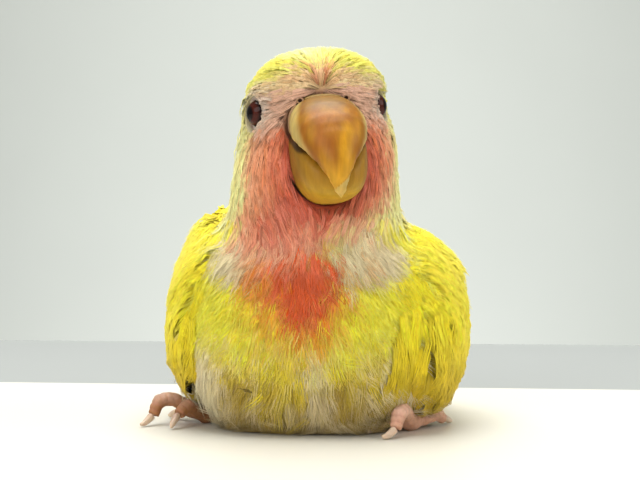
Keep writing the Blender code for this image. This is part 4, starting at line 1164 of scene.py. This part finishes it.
draw = np.random.default_rng(35)
blades = []
for row in range(MANTLE_ROWS):
    root_u = 5.0 + MANTLE_STEP * row + draw.uniform(-0.3, 0.3)
    reach_v = 13.0 - 6.5 * float(ease(root_u, 28, 56))
    count = 8 if row % 2 else 7
    for k in range(count):
        v = reach_v * (2 * k / (count - 1) - 1) + draw.uniform(-0.4, 0.4)
        root = (root_u + draw.uniform(-1.0, 1.0), v)
        tip = (root_u + draw.uniform(6.2, 8.6), v * 0.98)
        wide = draw.uniform(4.4, 5.2) * (0.6 + 0.4 * reach_v / 13.0)
        blade = make_blade(back_roof, -1, root, tip, wide, (0.1, 0.75), 0.0, draw, ragged=0.14)
        blades.append((blade, wide, tip[0] - root[0], (draw.uniform(0.93, 1.05),)))
mantle = blade_mesh("mantle_feathers", blades, -1, back_colour)
grow_barbs("mantle_barbs", back_roof, -1, blades, back_colour, 45, 20)
mantle.data.materials.append(vane_horn)
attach(mantle, "root")

# %% [markdown]
# ## The tail
# A fledgling's tail is a short, blunt fan. The two middle feathers lie on top, and soft coverts
# cover its root above and below. In this species the hidden part of the outer feathers is
# orange-red.

# %% Lay the tail
TAIL_SIDE = tint("F0DF3C")
TAIL_BAR = tint("E46A34")


def tail_colour(p, t, c, tone):
    colour = np.tile(TAIL_SIDE, (len(p), 1)) * tone[0][:, None]
    colour = mix(colour, TAIL_BAR, tone[1] * ease(t, 0.30, 0.45) * (1 - ease(t, 0.58, 0.72)))
    colour = mix(colour, WING_RIM, 0.5 * ease(np.maximum(np.abs(c), t), 0.8, 1.0))
    quill = 1 - 0.3 * np.exp(-(c / 0.16) ** 2)
    # The quill is a darker line; painted shade darkens each feather towards its root, under the coverts.
    return np.clip(colour * (quill * (0.8 + 0.2 * ease(t, 0.4, 0.8)))[:, None], 0, 0.98)


draw = np.random.default_rng(41)
blades = []
for k in range(10):
    side = (k - 4.5) / 4.5
    order = 1 - abs(side)
    tip_u = 31.0 - 5.0 * abs(side) ** 1.6 + draw.uniform(-0.5, 0.5)
    root, tip = (-2.0, 3.4 * side), (tip_u, 6.4 * side)
    blade = make_blade(tail_roof, 1, root, tip, 4.6, (-0.4 + 0.9 * order, 0.35 + 1.0 * order),
                       0.14 * np.sign(side), draw, camber=0.25)
    blades.append((blade, 4.6, 31.0, (draw.uniform(0.94, 1.03), 0.75 * abs(side))))
TAIL_COVERTS = ((9, -3.0, 15.0, 5.4, 1.1), (9, -5.0, 9.5, 5.8, 1.5), (8, -8.0, 5.0, 6.2, 2.0))
for row, (count, root_u, tip_u, spread_v, height) in enumerate(TAIL_COVERTS):
    for k in range(count):
        side = 2 * k / (count - 1) - 1
        back = tip_u - 4.0 * side * side + draw.uniform(-1.6, 1.6)
        root, tip = (root_u, spread_v * side), (back, 1.05 * spread_v * side)
        lift = (0.2 + 0.4 * row, height - 0.5 * abs(side))
        blade = make_blade(tail_roof, 1, root, tip, 3.6, lift, 0.0, draw)
        blades.append((blade, 3.6, tip_u - root_u, (draw.uniform(0.96, 1.05), 0.0)))
for k in range(7):
    side = 2 * k / 6 - 1
    root, tip = (-3.0, 4.4 * side), (17.0 - 3.0 * abs(side) + draw.uniform(-0.8, 0.8), 4.6 * side)
    blade = make_blade(tail_roof, 1, root, tip, 4.0, (-3.7, -3.0), 0.0, draw, camber=-0.3)
    blades.append((blade, 4.0, 14.0, (draw.uniform(0.96, 1.05), 0.0)))
tail_vanes = blade_mesh("tail_feathers", blades, 1, tail_colour)
grow_barbs("tail_barbs", tail_roof, 1, blades, tail_colour, 46)
tail_vanes.data.materials.append(vane_horn)
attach(tail_vanes, "root")

# %% [markdown]
# ## The bill
# A parrot's upper bill is a hollow hook of horn over bone. Its culmen is domed and its cutting
# edges turn down and in. It is lofted from rings that follow the same rows as the solids, only
# finer, and slow ripples along it are the growth lines of the horn. Young horn is waxy: amber
# where the bone glows through, pale at the edges and tip.

# %% Loft helper
def loft(rings, close_tip=None):
    """Bridge rings of equal count into one closed form."""
    bm = bmesh.new()
    rows = []
    for ring in rings:
        made = bmesh.ops.create_circle(bm, segments=len(ring), radius=1.0)["verts"]
        for vert, point in zip(made, ring):
            vert.co = Vector(point)
        rows.append(made)
    for low, high in zip(rows, rows[1:]):
        edges = [e for v in low for e in v.link_edges if e.other_vert(v) in low]
        edges += [e for v in high for e in v.link_edges if e.other_vert(v) in high]
        bmesh.ops.bridge_loops(bm, edges=list(set(edges)))
    ends = [rows[0], rows[-1]]
    for k, row in enumerate(ends):
        rim = list({e for v in row for e in v.link_edges if e.other_vert(v) in row})
        if k and close_tip is not None:
            pole = bm.verts.new(close_tip)
            for edge in rim:
                bm.faces.new((*edge.verts, pole))
        else:
            bmesh.ops.holes_fill(bm, edges=rim, sides=0)
    bmesh.ops.recalc_face_normals(bm, faces=bm.faces)
    return bm


def place_mesh(name, bm, smooth=True):
    """A form in bird millimetres, put in its place in metres."""
    bmesh.ops.translate(bm, verts=bm.verts, vec=Vector(SHIFT))
    bmesh.ops.scale(bm, verts=bm.verts, vec=(MM, MM, MM))
    made = finish_mesh(name, bm)
    if smooth:
        made.data.shade_smooth()
    return made


# %% Rings of the two halves
BILL_ROWS = np.array([
    # culmen y, z, cutting edge y, z, half width
    (-19.4, 58.6, -19.6, 52.2, 5.4), (-24.4, 58.3, -23.2, 51.3, 6.1), (-29.0, 56.3, -26.8, 49.8, 6.35),
    (-32.4, 52.7, -29.6, 48.2, 5.3), (-34.1, 48.3, -31.3, 45.9, 3.3), (-34.4, 44.4, -32.4, 43.3, 1.7),
    (-33.7, 41.4, -32.9, 41.5, 0.85)])
BILL_TIP = np.array([0.0, -33.3, 40.3])
EDGE_SHARE = 0.34
MANDIBLE_ROWS = np.array([
    # y, top, bottom, half width
    (-18.0, 53.0, 40.4, 6.0), (-22.0, 52.4, 39.9, 6.35), (-26.0, 50.8, 39.9, 6.3),
    (-28.6, 48.8, 40.2, 5.6), (-30.4, 46.6, 40.8, 4.4), (-31.3, 44.9, 41.8, 2.9)])
RIM_SHARE = 0.26
BILL_SIDES = 96


def power_ring(round_up, round_down):
    angle = math.tau * np.arange(BILL_SIDES) / BILL_SIDES
    c, s = np.cos(angle), np.sin(angle)
    power = 2 / np.where(c > 0, round_up, round_down)
    return np.sign(c) * np.abs(c) ** power, np.sign(s) * np.abs(s) ** power, angle


def upper_ring(at, grow=0.0):
    culmen_y, culmen_z, edge_y, edge_z, half_width = rows_at(BILL_ROWS, np.array(float(at)))
    low, high = np.array([0, edge_y, edge_z]), np.array([0, culmen_y, culmen_z])
    size = np.linalg.norm(high - low)
    rise = (high - low) / size
    up, side, angle = power_ring(2.25 - 0.2 * float(ease(at, 0.8, 2.4)), 3.5)
    share = np.where(np.cos(angle) > 0, 1 - EDGE_SHARE, EDGE_SHARE)
    ring = low + EDGE_SHARE * size * rise + (up * (share * size + grow))[:, None] * rise
    ring = ring + (side * (half_width + grow))[:, None] * np.array([1.0, 0, 0])
    return turned(ring)


def lower_ring(at):
    y, top, bottom, half_width = rows_at(MANDIBLE_ROWS, np.array(float(at)))
    rim = top - RIM_SHARE * (top - bottom)
    up, side, angle = power_ring(5.0, 2.5)
    reach = np.where(np.cos(angle) > 0, top - rim, rim - bottom)
    return turned(np.stack([side * half_width, np.full(BILL_SIDES, y), rim + up * reach], axis=1))


def growth(at):
    """Shallow rings of growth, strongest beside the cere."""
    return 0.045 * math.sin(7.5 * at) + 0.025 * math.sin(17 * at + 1.0)


stops = np.linspace(0.9, 6.0, 50)
upper_bill = place_mesh("bill_upper_horn", loft([upper_ring(a, growth(a)) for a in stops],
                                                turned(BILL_TIP)))
lower_bill = place_mesh("bill_lower_horn", loft([lower_ring(a) for a in np.linspace(0, 5, 30)]))


# %% Horn materials
def horn_colours(mesh, colour_at):
    count = len(mesh.vertices)
    points = np.zeros(count * 3)
    mesh.vertices.foreach_get("co", points)
    points = to_bird(points.reshape(-1, 3))
    colours = colour_at(points, to_head(points))
    layer = mesh.color_attributes.new("Tint", "FLOAT_COLOR", "POINT")
    layer.data.foreach_set("color", np.column_stack([np.clip(colours, 0, 1), np.ones(count)]).ravel())


BILL_LEVELS = (40.5, 42, 44, 46, 48, 50, 52, 54, 56, 58)
BILL_OUTLINE = (0.6, 1.1, 2.2, 3.6, 5.0, 5.9, 6.3, 6.2, 5.5, 4.2)


def upper_horn(points, head):
    hx, hy, hz = head.T
    wander = ripple(points, 4.0, 51)
    blotch = ripple(points, 1.6, 52)
    colour = mix(np.tile(tint("B27A1A"), (len(hx), 1)), tint("9E6012"), 0.5 + 0.5 * blotch)
    glow = (1 - ease(np.abs(hx + 1.5 + 0.8 * wander), 0.8, 3.6)) * ease(hz, 46, 50) * (1 - ease(hz, 53, 56))
    colour = mix(colour, tint("A0560E"), 0.5 * glow)
    # Painted highlight: a soft vertical streak of golden light a little to the bird's left of the middle.
    colour = mix(colour, tint("D89E14"), 0.6 * (1 - ease(np.abs(hx - 1.4 - 0.5 * wander), 0.2, 2.4))
                 * ease(hz, 43, 46) * (1 - ease(hz, 50, 54)))
    colour = mix(colour, tint("86601E"), 0.9 * ease(hz + 0.5 * wander, 54.0, 57.0))
    colour = mix(colour, tint("D29A26"), 1 - ease(hz + 0.4 * wander, 43.0, 47.5))
    rim = np.abs(hx) / np.interp(hz, BILL_LEVELS, BILL_OUTLINE)
    colour = mix(colour, tint("C2AC66"), 0.85 * ease(rim, 0.8, 0.97) * ease(hz, 40.5, 43))
    colour = mix(colour, tint("7E4A10"), 0.35 * ease(rim, 0.66, 0.8) * (1 - ease(rim, 0.8, 0.9)))
    fibres = ripple(points * (1.0, 1.0, 0.12), 0.7, 54)
    colour = colour * (1 + 0.10 * fibres)[:, None]
    return mix(colour, tint("DCC070"), 0.8 * (1 - ease(hz, 40.5, 42.4)))


def lower_horn(points, head):
    hx, hy, hz = head.T
    wander = ripple(points, 2.5, 53)
    colour = mix(np.tile(tint("A4761A"), (len(hx), 1)), tint("BA9226"), 1 - ease(hz + 0.5 * wander, 40, 45))
    colour = mix(colour, tint("7A5418"), 0.6 * ease(np.abs(hx), 4.6, 6.2))
    colour = colour * (1 + 0.08 * ripple(points * (1.0, 1.0, 0.15), 0.7, 55))[:, None]
    # Painted shadow: the lower bill darkens to near black just under the upper bill's cutting edge.
    order = np.argsort(-BILL_ROWS[:, 2])
    below_cutting_edge = hz - np.interp(-hy, -BILL_ROWS[order, 2], BILL_ROWS[order, 3])
    return mix(colour, tint("33200C"), 0.9 * ease(below_cutting_edge + 0.15 * wander, -0.75, -0.25))


horn_colours(upper_bill.data, upper_horn)
horn_colours(lower_bill.data, lower_horn)


def horn_material(name, roughness, coat, layer_mm, seed_offset, stretch=0.6):
    """Waxy horn: a soft coat of shine over fibres that run down the bill."""
    made = bpy.data.materials.new(name)
    made.use_nodes = True
    tree = made.node_tree
    shader = tree.nodes["Principled BSDF"]
    shader.inputs["Roughness"].default_value = roughness
    shader.inputs["IOR"].default_value = 1.54
    shader.inputs["Coat Weight"].default_value = coat
    shader.inputs["Coat Roughness"].default_value = 0.25
    shader.inputs["Subsurface Weight"].default_value = 0.15
    shader.inputs["Specular IOR Level"].default_value = 0.22
    shader.inputs["Subsurface Radius"].default_value = (0.002, 0.001, 0.0005)
    shader.inputs["Subsurface Scale"].default_value = 0.6
    tinted = add_node(tree, "ShaderNodeAttribute", {}, attribute_name="Tint")
    place = add_node(tree, "ShaderNodeTexCoord", {})
    shift = add_node(tree, "ShaderNodeMapping", {"Vector": place.outputs["Object"],
                     "Location": (seed_offset, 0.0, 0.0), "Scale": (1.0, 1.0, stretch)})
    fibre = add_node(tree, "ShaderNodeTexNoise", {"Vector": shift.outputs["Vector"],
                     "Scale": 1.0 / (layer_mm * MM), "Detail": 4.0})
    tone = add_node(tree, "ShaderNodeMapRange", {"Value": fibre.outputs["Fac"], "To Min": 0.8,
                    "To Max": 1.2})
    colour = add_node(tree, "ShaderNodeVectorMath", {0: tinted.outputs["Color"],
                      "Scale": tone.outputs["Result"]}, operation="SCALE")
    relief = add_node(tree, "ShaderNodeBump", {"Height": fibre.outputs["Fac"], "Strength": 0.25,
                      "Distance": 0.08 * MM})
    tree.links.new(colour.outputs["Vector"], shader.inputs["Base Color"])
    tree.links.new(relief.outputs["Normal"], shader.inputs["Normal"])
    return made


bill_horn = horn_material("waxy_amber_bill_horn", 0.46, 0.05, 0.4, 0.0, stretch=0.14)
for made, node in ((upper_bill, "bill_upper"), (lower_bill, "bill_lower")):
    made.data.materials.append(bill_horn)
    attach(made, "root")
    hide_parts(node)

# %% [markdown]
# ## Cere, legs and feet
# The cere is lofted from the upper bill's first rings, a little swollen, with a pit for each nostril. Legs and feet
# are bare skin in the solids' own shapes, so each one is a copy of its solids, remeshed finely and smoothed. Scutes
# ring the toes every millimetre: the skin is drawn in at the creases between them.

# %% Soft copies of solids
def mesh_points(mesh):
    points = np.zeros(len(mesh.vertices) * 3)
    mesh.vertices.foreach_get("co", points)
    return to_bird(points.reshape(-1, 3))


def soft_copy(name, nodes, swell, voxel, rounds):
    bm = bmesh.new()
    for node in nodes:
        node_mesh(bm, node, swell)
    made = finish_mesh(name, bm)
    remesh(made, voxel)
    smooth_points(made.data, rounds)
    made.data.shade_smooth()
    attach(made, "root")
    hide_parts(*nodes)
    return made


NOSTRIL = np.array([3.9, -23.4, 57.5])
cere_stops = np.linspace(0.0, 1.02, 22)
cere = place_mesh("cere_skin", loft([upper_ring(a, 0.06 + 0.3 * math.sin(math.pi * (a + 0.1) / 1.2))
                                     for a in cere_stops]))
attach(cere, "root")
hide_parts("cere")
cere_mm = mesh_points(cere.data)
pit = spot(np.abs(to_head(cere_mm)) * (1, -1, 1), NOSTRIL, (0.9, 1.4, 0.9))
cere_mm = cere_mm - vertex_normals(cere.data) * 0.9 * pit[:, None]
cere.data.vertices.foreach_set("co", to_world(cere_mm).ravel())
cere.data.update()
# The nostril pits are painted near black: painted shade inside the openings.
horn_colours(cere.data, lambda points, head: mix(mix(
    np.tile(tint("9A7C44"), (len(points), 1)), tint("9E7C58"), ease(np.abs(head[:, 0]), 3.0, 6.0)),
    tint("3A1E14"), spot(np.abs(head) * (1, -1, 1), NOSTRIL, (0.9, 1.5, 0.9))))

NOSTRIL_TURN = Matrix.Rotation(math.radians(78), 3, "X")
for side_name, sign in (("left", 1), ("right", -1)):
    hole = bmesh.new()
    bmesh.ops.create_uvsphere(hole, u_segments=24, v_segments=14, radius=0.75)
    bmesh.ops.scale(hole, verts=hole.verts, vec=(0.95, 0.7, 0.4))
    for vert in hole.verts:
        out = math.hypot(vert.co.x, vert.co.y)
        vert.co.z -= 0.5 * (1 - float(ease(out, 0.12, 0.42))) * (vert.co.z > 0)
    bmesh.ops.rotate(hole, verts=hole.verts, matrix=NOSTRIL_TURN)
    naris_at = turned((sign * 4.0, -23.7, 57.75))
    bmesh.ops.translate(hole, verts=hole.verts, vec=Vector(naris_at))
    naris = place_mesh("nostril_" + side_name, hole)
    # Painted shade: the middle of each nostril is near black, as inside the opening.
    horn_colours(naris.data, lambda points, head: mix(
        np.tile(tint("A07C5C"), (len(points), 1)), tint("2A120C"),
        1 - ease(np.linalg.norm(points - naris_at, axis=1), 0.3, 0.46)))
    naris.data.materials.append(horn_material("nostril_rim_skin_" + side_name, 0.6, 0.05, 0.3, 0.05))
    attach(naris, "root")

LEG_PATHS = {
    # heel, pad, then each toe from pad to tip
    "left": [[(12, -3.5, 3.6), (17.8, -12.6, 2.2)],
             [(17.8, -12.6, 2.2), (17.3, -15, 3.1), (16.8, -18, 4.7), (16, -20.4, 4.3), (15.5, -21.6, 2.2)],
             [(17.8, -12.6, 2.2), (15.6, -14.2, 2.6), (13.6, -15.6, 3.4), (12.2, -16.4, 2)],
             [(17.8, -12.6, 2.2), (20, -10.8, 2.3), (22.2, -8.4, 2.9), (23.4, -6.2, 1.7)],
             [(17.8, -12.6, 2.2), (18, -9.9, 2.2), (18.8, -7.2, 2.5), (19.6, -5.4, 1.5)]],
    "right": [[(-12.5, -2.5, 3.6), (-20.2, -7.6, 2.2)],
              [(-20.2, -7.6, 2.2), (-23, -8.4, 3), (-26, -9.6, 5), (-28.4, -10.8, 4.7), (-29.2, -11.8, 2.4)],
              [(-20.2, -7.6, 2.2), (-21.4, -10, 2.8), (-22.8, -12.4, 4.2), (-23.8, -14, 2.8)],
              [(-20.2, -7.6, 2.2), (-20.2, -5.2, 2.2), (-20.9, -2.8, 2.7), (-21.6, -0.9, 1.6)],
              [(-20.2, -7.6, 2.2), (-22.4, -6.6, 2.2), (-24.8, -5, 2.6), (-26.4, -3.6, 1.6)]],
}
SCUTE_LENGTH = 1.15
SLIMMER = 0.78


def along_paths(points, paths):
    """Distance walked along the nearest limb, its axis there, and how much a point looks up."""
    best = np.full(len(points), 1e9)
    walked = np.zeros(len(points))
    above = np.zeros(len(points))
    axis = points.copy()
    for path in paths:
        start = 0.0
        for a, b in zip(np.array(path[:-1], float), np.array(path[1:], float)):
            line = b - a
            size = np.linalg.norm(line)
            t = np.clip((points - a) @ line / size ** 2, 0, 1)
            arm = points - a - t[:, None] * line
            away = np.linalg.norm(arm, axis=1)
            closer = away < best
            best = np.where(closer, away, best)
            walked = np.where(closer, start + t * size, walked)
            above = np.where(closer, arm[:, 2] / np.maximum(away, 1e-6), above)
            axis = np.where(closer[:, None], points - arm, axis)
            start += size
    return walked, above, axis


FLESH_PINK, FLESH_WARM = tint("D6A48A"), tint("A6724A")
for side_name, base in (("left", FLESH_PINK), ("right", FLESH_WARM)):
    leg = soft_copy("leg_skin_" + side_name, ["foot_" + side_name, "tarsus_" + side_name], 0.17, 0.2, 5)
    points = mesh_points(leg.data)
    normals = vertex_normals(leg.data)
    walked, above, axis = along_paths(points, LEG_PATHS[side_name])
    points = axis + SLIMMER * (points - axis)
    points[:, 2] -= points[:, 2].min()
    crease = np.abs(np.sin(math.pi * walked / SCUTE_LENGTH)) ** 0.35
    scuted = ease(above, -0.5, 0.3)
    sink = -0.20 * (1 - crease) * scuted + 0.05 * ripple(points, 0.8, 61) * (1 - scuted)
    points = points + normals * sink[:, None]
    points[:, 2] = np.maximum(points[:, 2], 0.02)
    leg.data.vertices.foreach_set("co", to_world(points).ravel())
    leg.data.update()
    tone = mix(np.tile(base, (len(points), 1)), tint("B97B68"), 0.75 * (1 - crease) * scuted)
    tone = mix(tone, tint("EBC9BA"), 0.5 * ease(points[:, 2], 3, 6))
    tone = tone * (1 + 0.05 * ripple(points, 1.5, 62))[:, None]
    layer = leg.data.color_attributes.new("Tint", "FLOAT_COLOR", "POINT")
    layer.data.foreach_set("color", np.column_stack([np.clip(tone, 0, 1), np.ones(len(points))]).ravel())
    leg.data.materials.append(horn_material("scaly_foot_skin_" + side_name, 0.5, 0.12, 0.45, 0.02))
cere.data.materials.append(horn_material("bare_cere_skin", 0.5, 0.1, 0.5, 0.01))

# %% Claws
claw_names = ["claw_%s_%d" % (side_name, k) for side_name in ("left", "right") for k in (1, 2, 3, 4)]
claw_form = bmesh.new()
for node in claw_names:
    node_mesh(claw_form, node)
claws = finish_mesh("claws", claw_form)
step = claws.modifiers.new("round", "SUBSURF")
step.levels = 2
step.render_levels = 2
apply_modifiers(claws)
claws.data.shade_smooth()
horn_colours(claws.data, lambda points, head: mix(np.tile(tint("D9BFA6"), (len(points), 1)),
                                                  tint("B9927E"), ease(points[:, 2], 1.0, 3.5)))
claws.data.materials.append(horn_material("clear_claw_horn", 0.3, 0.4, 0.6, 0.03))
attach(claws, "root")
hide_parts(*claw_names)

# %% [markdown]
# ## Eyes
# The eye is a wet ball with a dark brown iris. A narrow ring of bare, finely wrinkled skin frames it, spun all the
# way round from a small oval profile. The clear cornea is the shader's own coat, over a bulge of the ball.

# %% Eyeballs and lids
EYE_INSET = (0.7, 0, 0)
EYE_RADIUS = 2.75
eye_gloss = bpy.data.materials.new("wet_cornea_over_brown_iris")
eye_gloss.use_nodes = True
tree = eye_gloss.node_tree
shader = tree.nodes["Principled BSDF"]
shader.inputs["Roughness"].default_value = 0.08
shader.inputs["IOR"].default_value = 1.376
shader.inputs["Specular IOR Level"].default_value = 0.15
shader.inputs["Coat Weight"].default_value = 0.14
shader.inputs["Coat Roughness"].default_value = 0.02
ring = add_node(tree, "ShaderNodeAttribute", {}, attribute_name="Tint")
place = add_node(tree, "ShaderNodeTexCoord", {})
threads = add_node(tree, "ShaderNodeTexNoise", {"Vector": place.outputs["Object"],
                   "Scale": 1.0 / (0.3 * MM), "Detail": 3.0})
thread_tone = add_node(tree, "ShaderNodeMapRange", {"Value": threads.outputs["Fac"], "To Min": 0.7,
                       "To Max": 1.35})
iris = add_node(tree, "ShaderNodeVectorMath", {0: ring.outputs["Color"],
                "Scale": thread_tone.outputs["Result"]}, operation="SCALE")
tree.links.new(iris.outputs["Vector"], shader.inputs["Base Color"])
lid_skin = horn_material("wrinkled_eye_ring_skin", 0.6, 0.08, 0.35, 0.04)

for side_name, sign in (("left", 1), ("right", -1)):
    centre = turned((EYE_PLACE - EYE_INSET) * (sign, 1, 1))
    gaze = eye_frame(sign)[1]
    aim = Vector((0, 0, 1)).rotation_difference(Vector(gaze)).to_matrix()
    ball = bmesh.new()
    bmesh.ops.create_uvsphere(ball, u_segments=48, v_segments=32, radius=EYE_RADIUS - 0.05)
    for vert in ball.verts:
        vert.co.z += 0.22 * float(ease(vert.co.z, 1.2, EYE_RADIUS))
    off_axis = {v.index: math.degrees(math.atan2(math.hypot(v.co.x, v.co.y), v.co.z)) for v in ball.verts}
    bmesh.ops.rotate(ball, verts=ball.verts, matrix=aim)
    bmesh.ops.translate(ball, verts=ball.verts, vec=Vector(centre))
    made = place_mesh("eyeball_" + side_name, ball)
    angle = np.array([off_axis[k] for k in range(len(made.data.vertices))])
    colour = mix(np.tile(tint("0C0507"), (len(angle), 1)), tint("4A1E16"), ease(angle, 24, 32))
    colour = mix(colour, tint("1C0D0C"), ease(angle, 46, 54))
    layer = made.data.color_attributes.new("Tint", "FLOAT_COLOR", "POINT")
    layer.data.foreach_set("color", np.column_stack([colour, np.ones(len(angle))]).ravel())
    made.data.materials.append(eye_gloss)
    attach(made, "root")
    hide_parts("eye_" + side_name)

    lids = bmesh.new()
    bmesh.ops.create_circle(lids, segments=12, radius=0.42)
    bmesh.ops.scale(lids, verts=lids.verts, vec=(1.35, 1.0, 1.0))
    bmesh.ops.rotate(lids, verts=lids.verts, matrix=Matrix.Rotation(math.pi / 2, 3, "X"))
    bmesh.ops.translate(lids, verts=lids.verts, vec=(2.72, 0, 0))
    bmesh.ops.spin(lids, geom=lids.verts[:] + lids.edges[:], axis=(0, 0, 1), cent=(0, 0, 0), steps=72,
                   angle=math.tau, use_merge=True)
    bmesh.ops.remove_doubles(lids, verts=lids.verts, dist=1e-4)
    bmesh.ops.recalc_face_normals(lids, faces=lids.faces)
    for vert in lids.verts:
        turn = math.atan2(vert.co.y, vert.co.x)
        out = math.hypot(vert.co.x, vert.co.y)
        pleat = 0.06 * math.sin(30 * turn) + 0.05 * math.sin(8 * out + 3 * turn)
        vert.co.z += pleat
    bmesh.ops.translate(lids, verts=lids.verts, vec=(0, 0, 0.95))
    bmesh.ops.rotate(lids, verts=lids.verts, matrix=aim)
    bmesh.ops.translate(lids, verts=lids.verts, vec=Vector(centre))
    rim = place_mesh("eye_ring_" + side_name, lids)
    horn_colours(rim.data, lambda points, head: mix(np.tile(tint("CFC2B4"), (len(points), 1)),
                 tint("A98F86"), 0.5 + 0.5 * ripple(points, 0.9, 71)))
    rim.data.materials.append(lid_skin)
    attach(rim, "root")
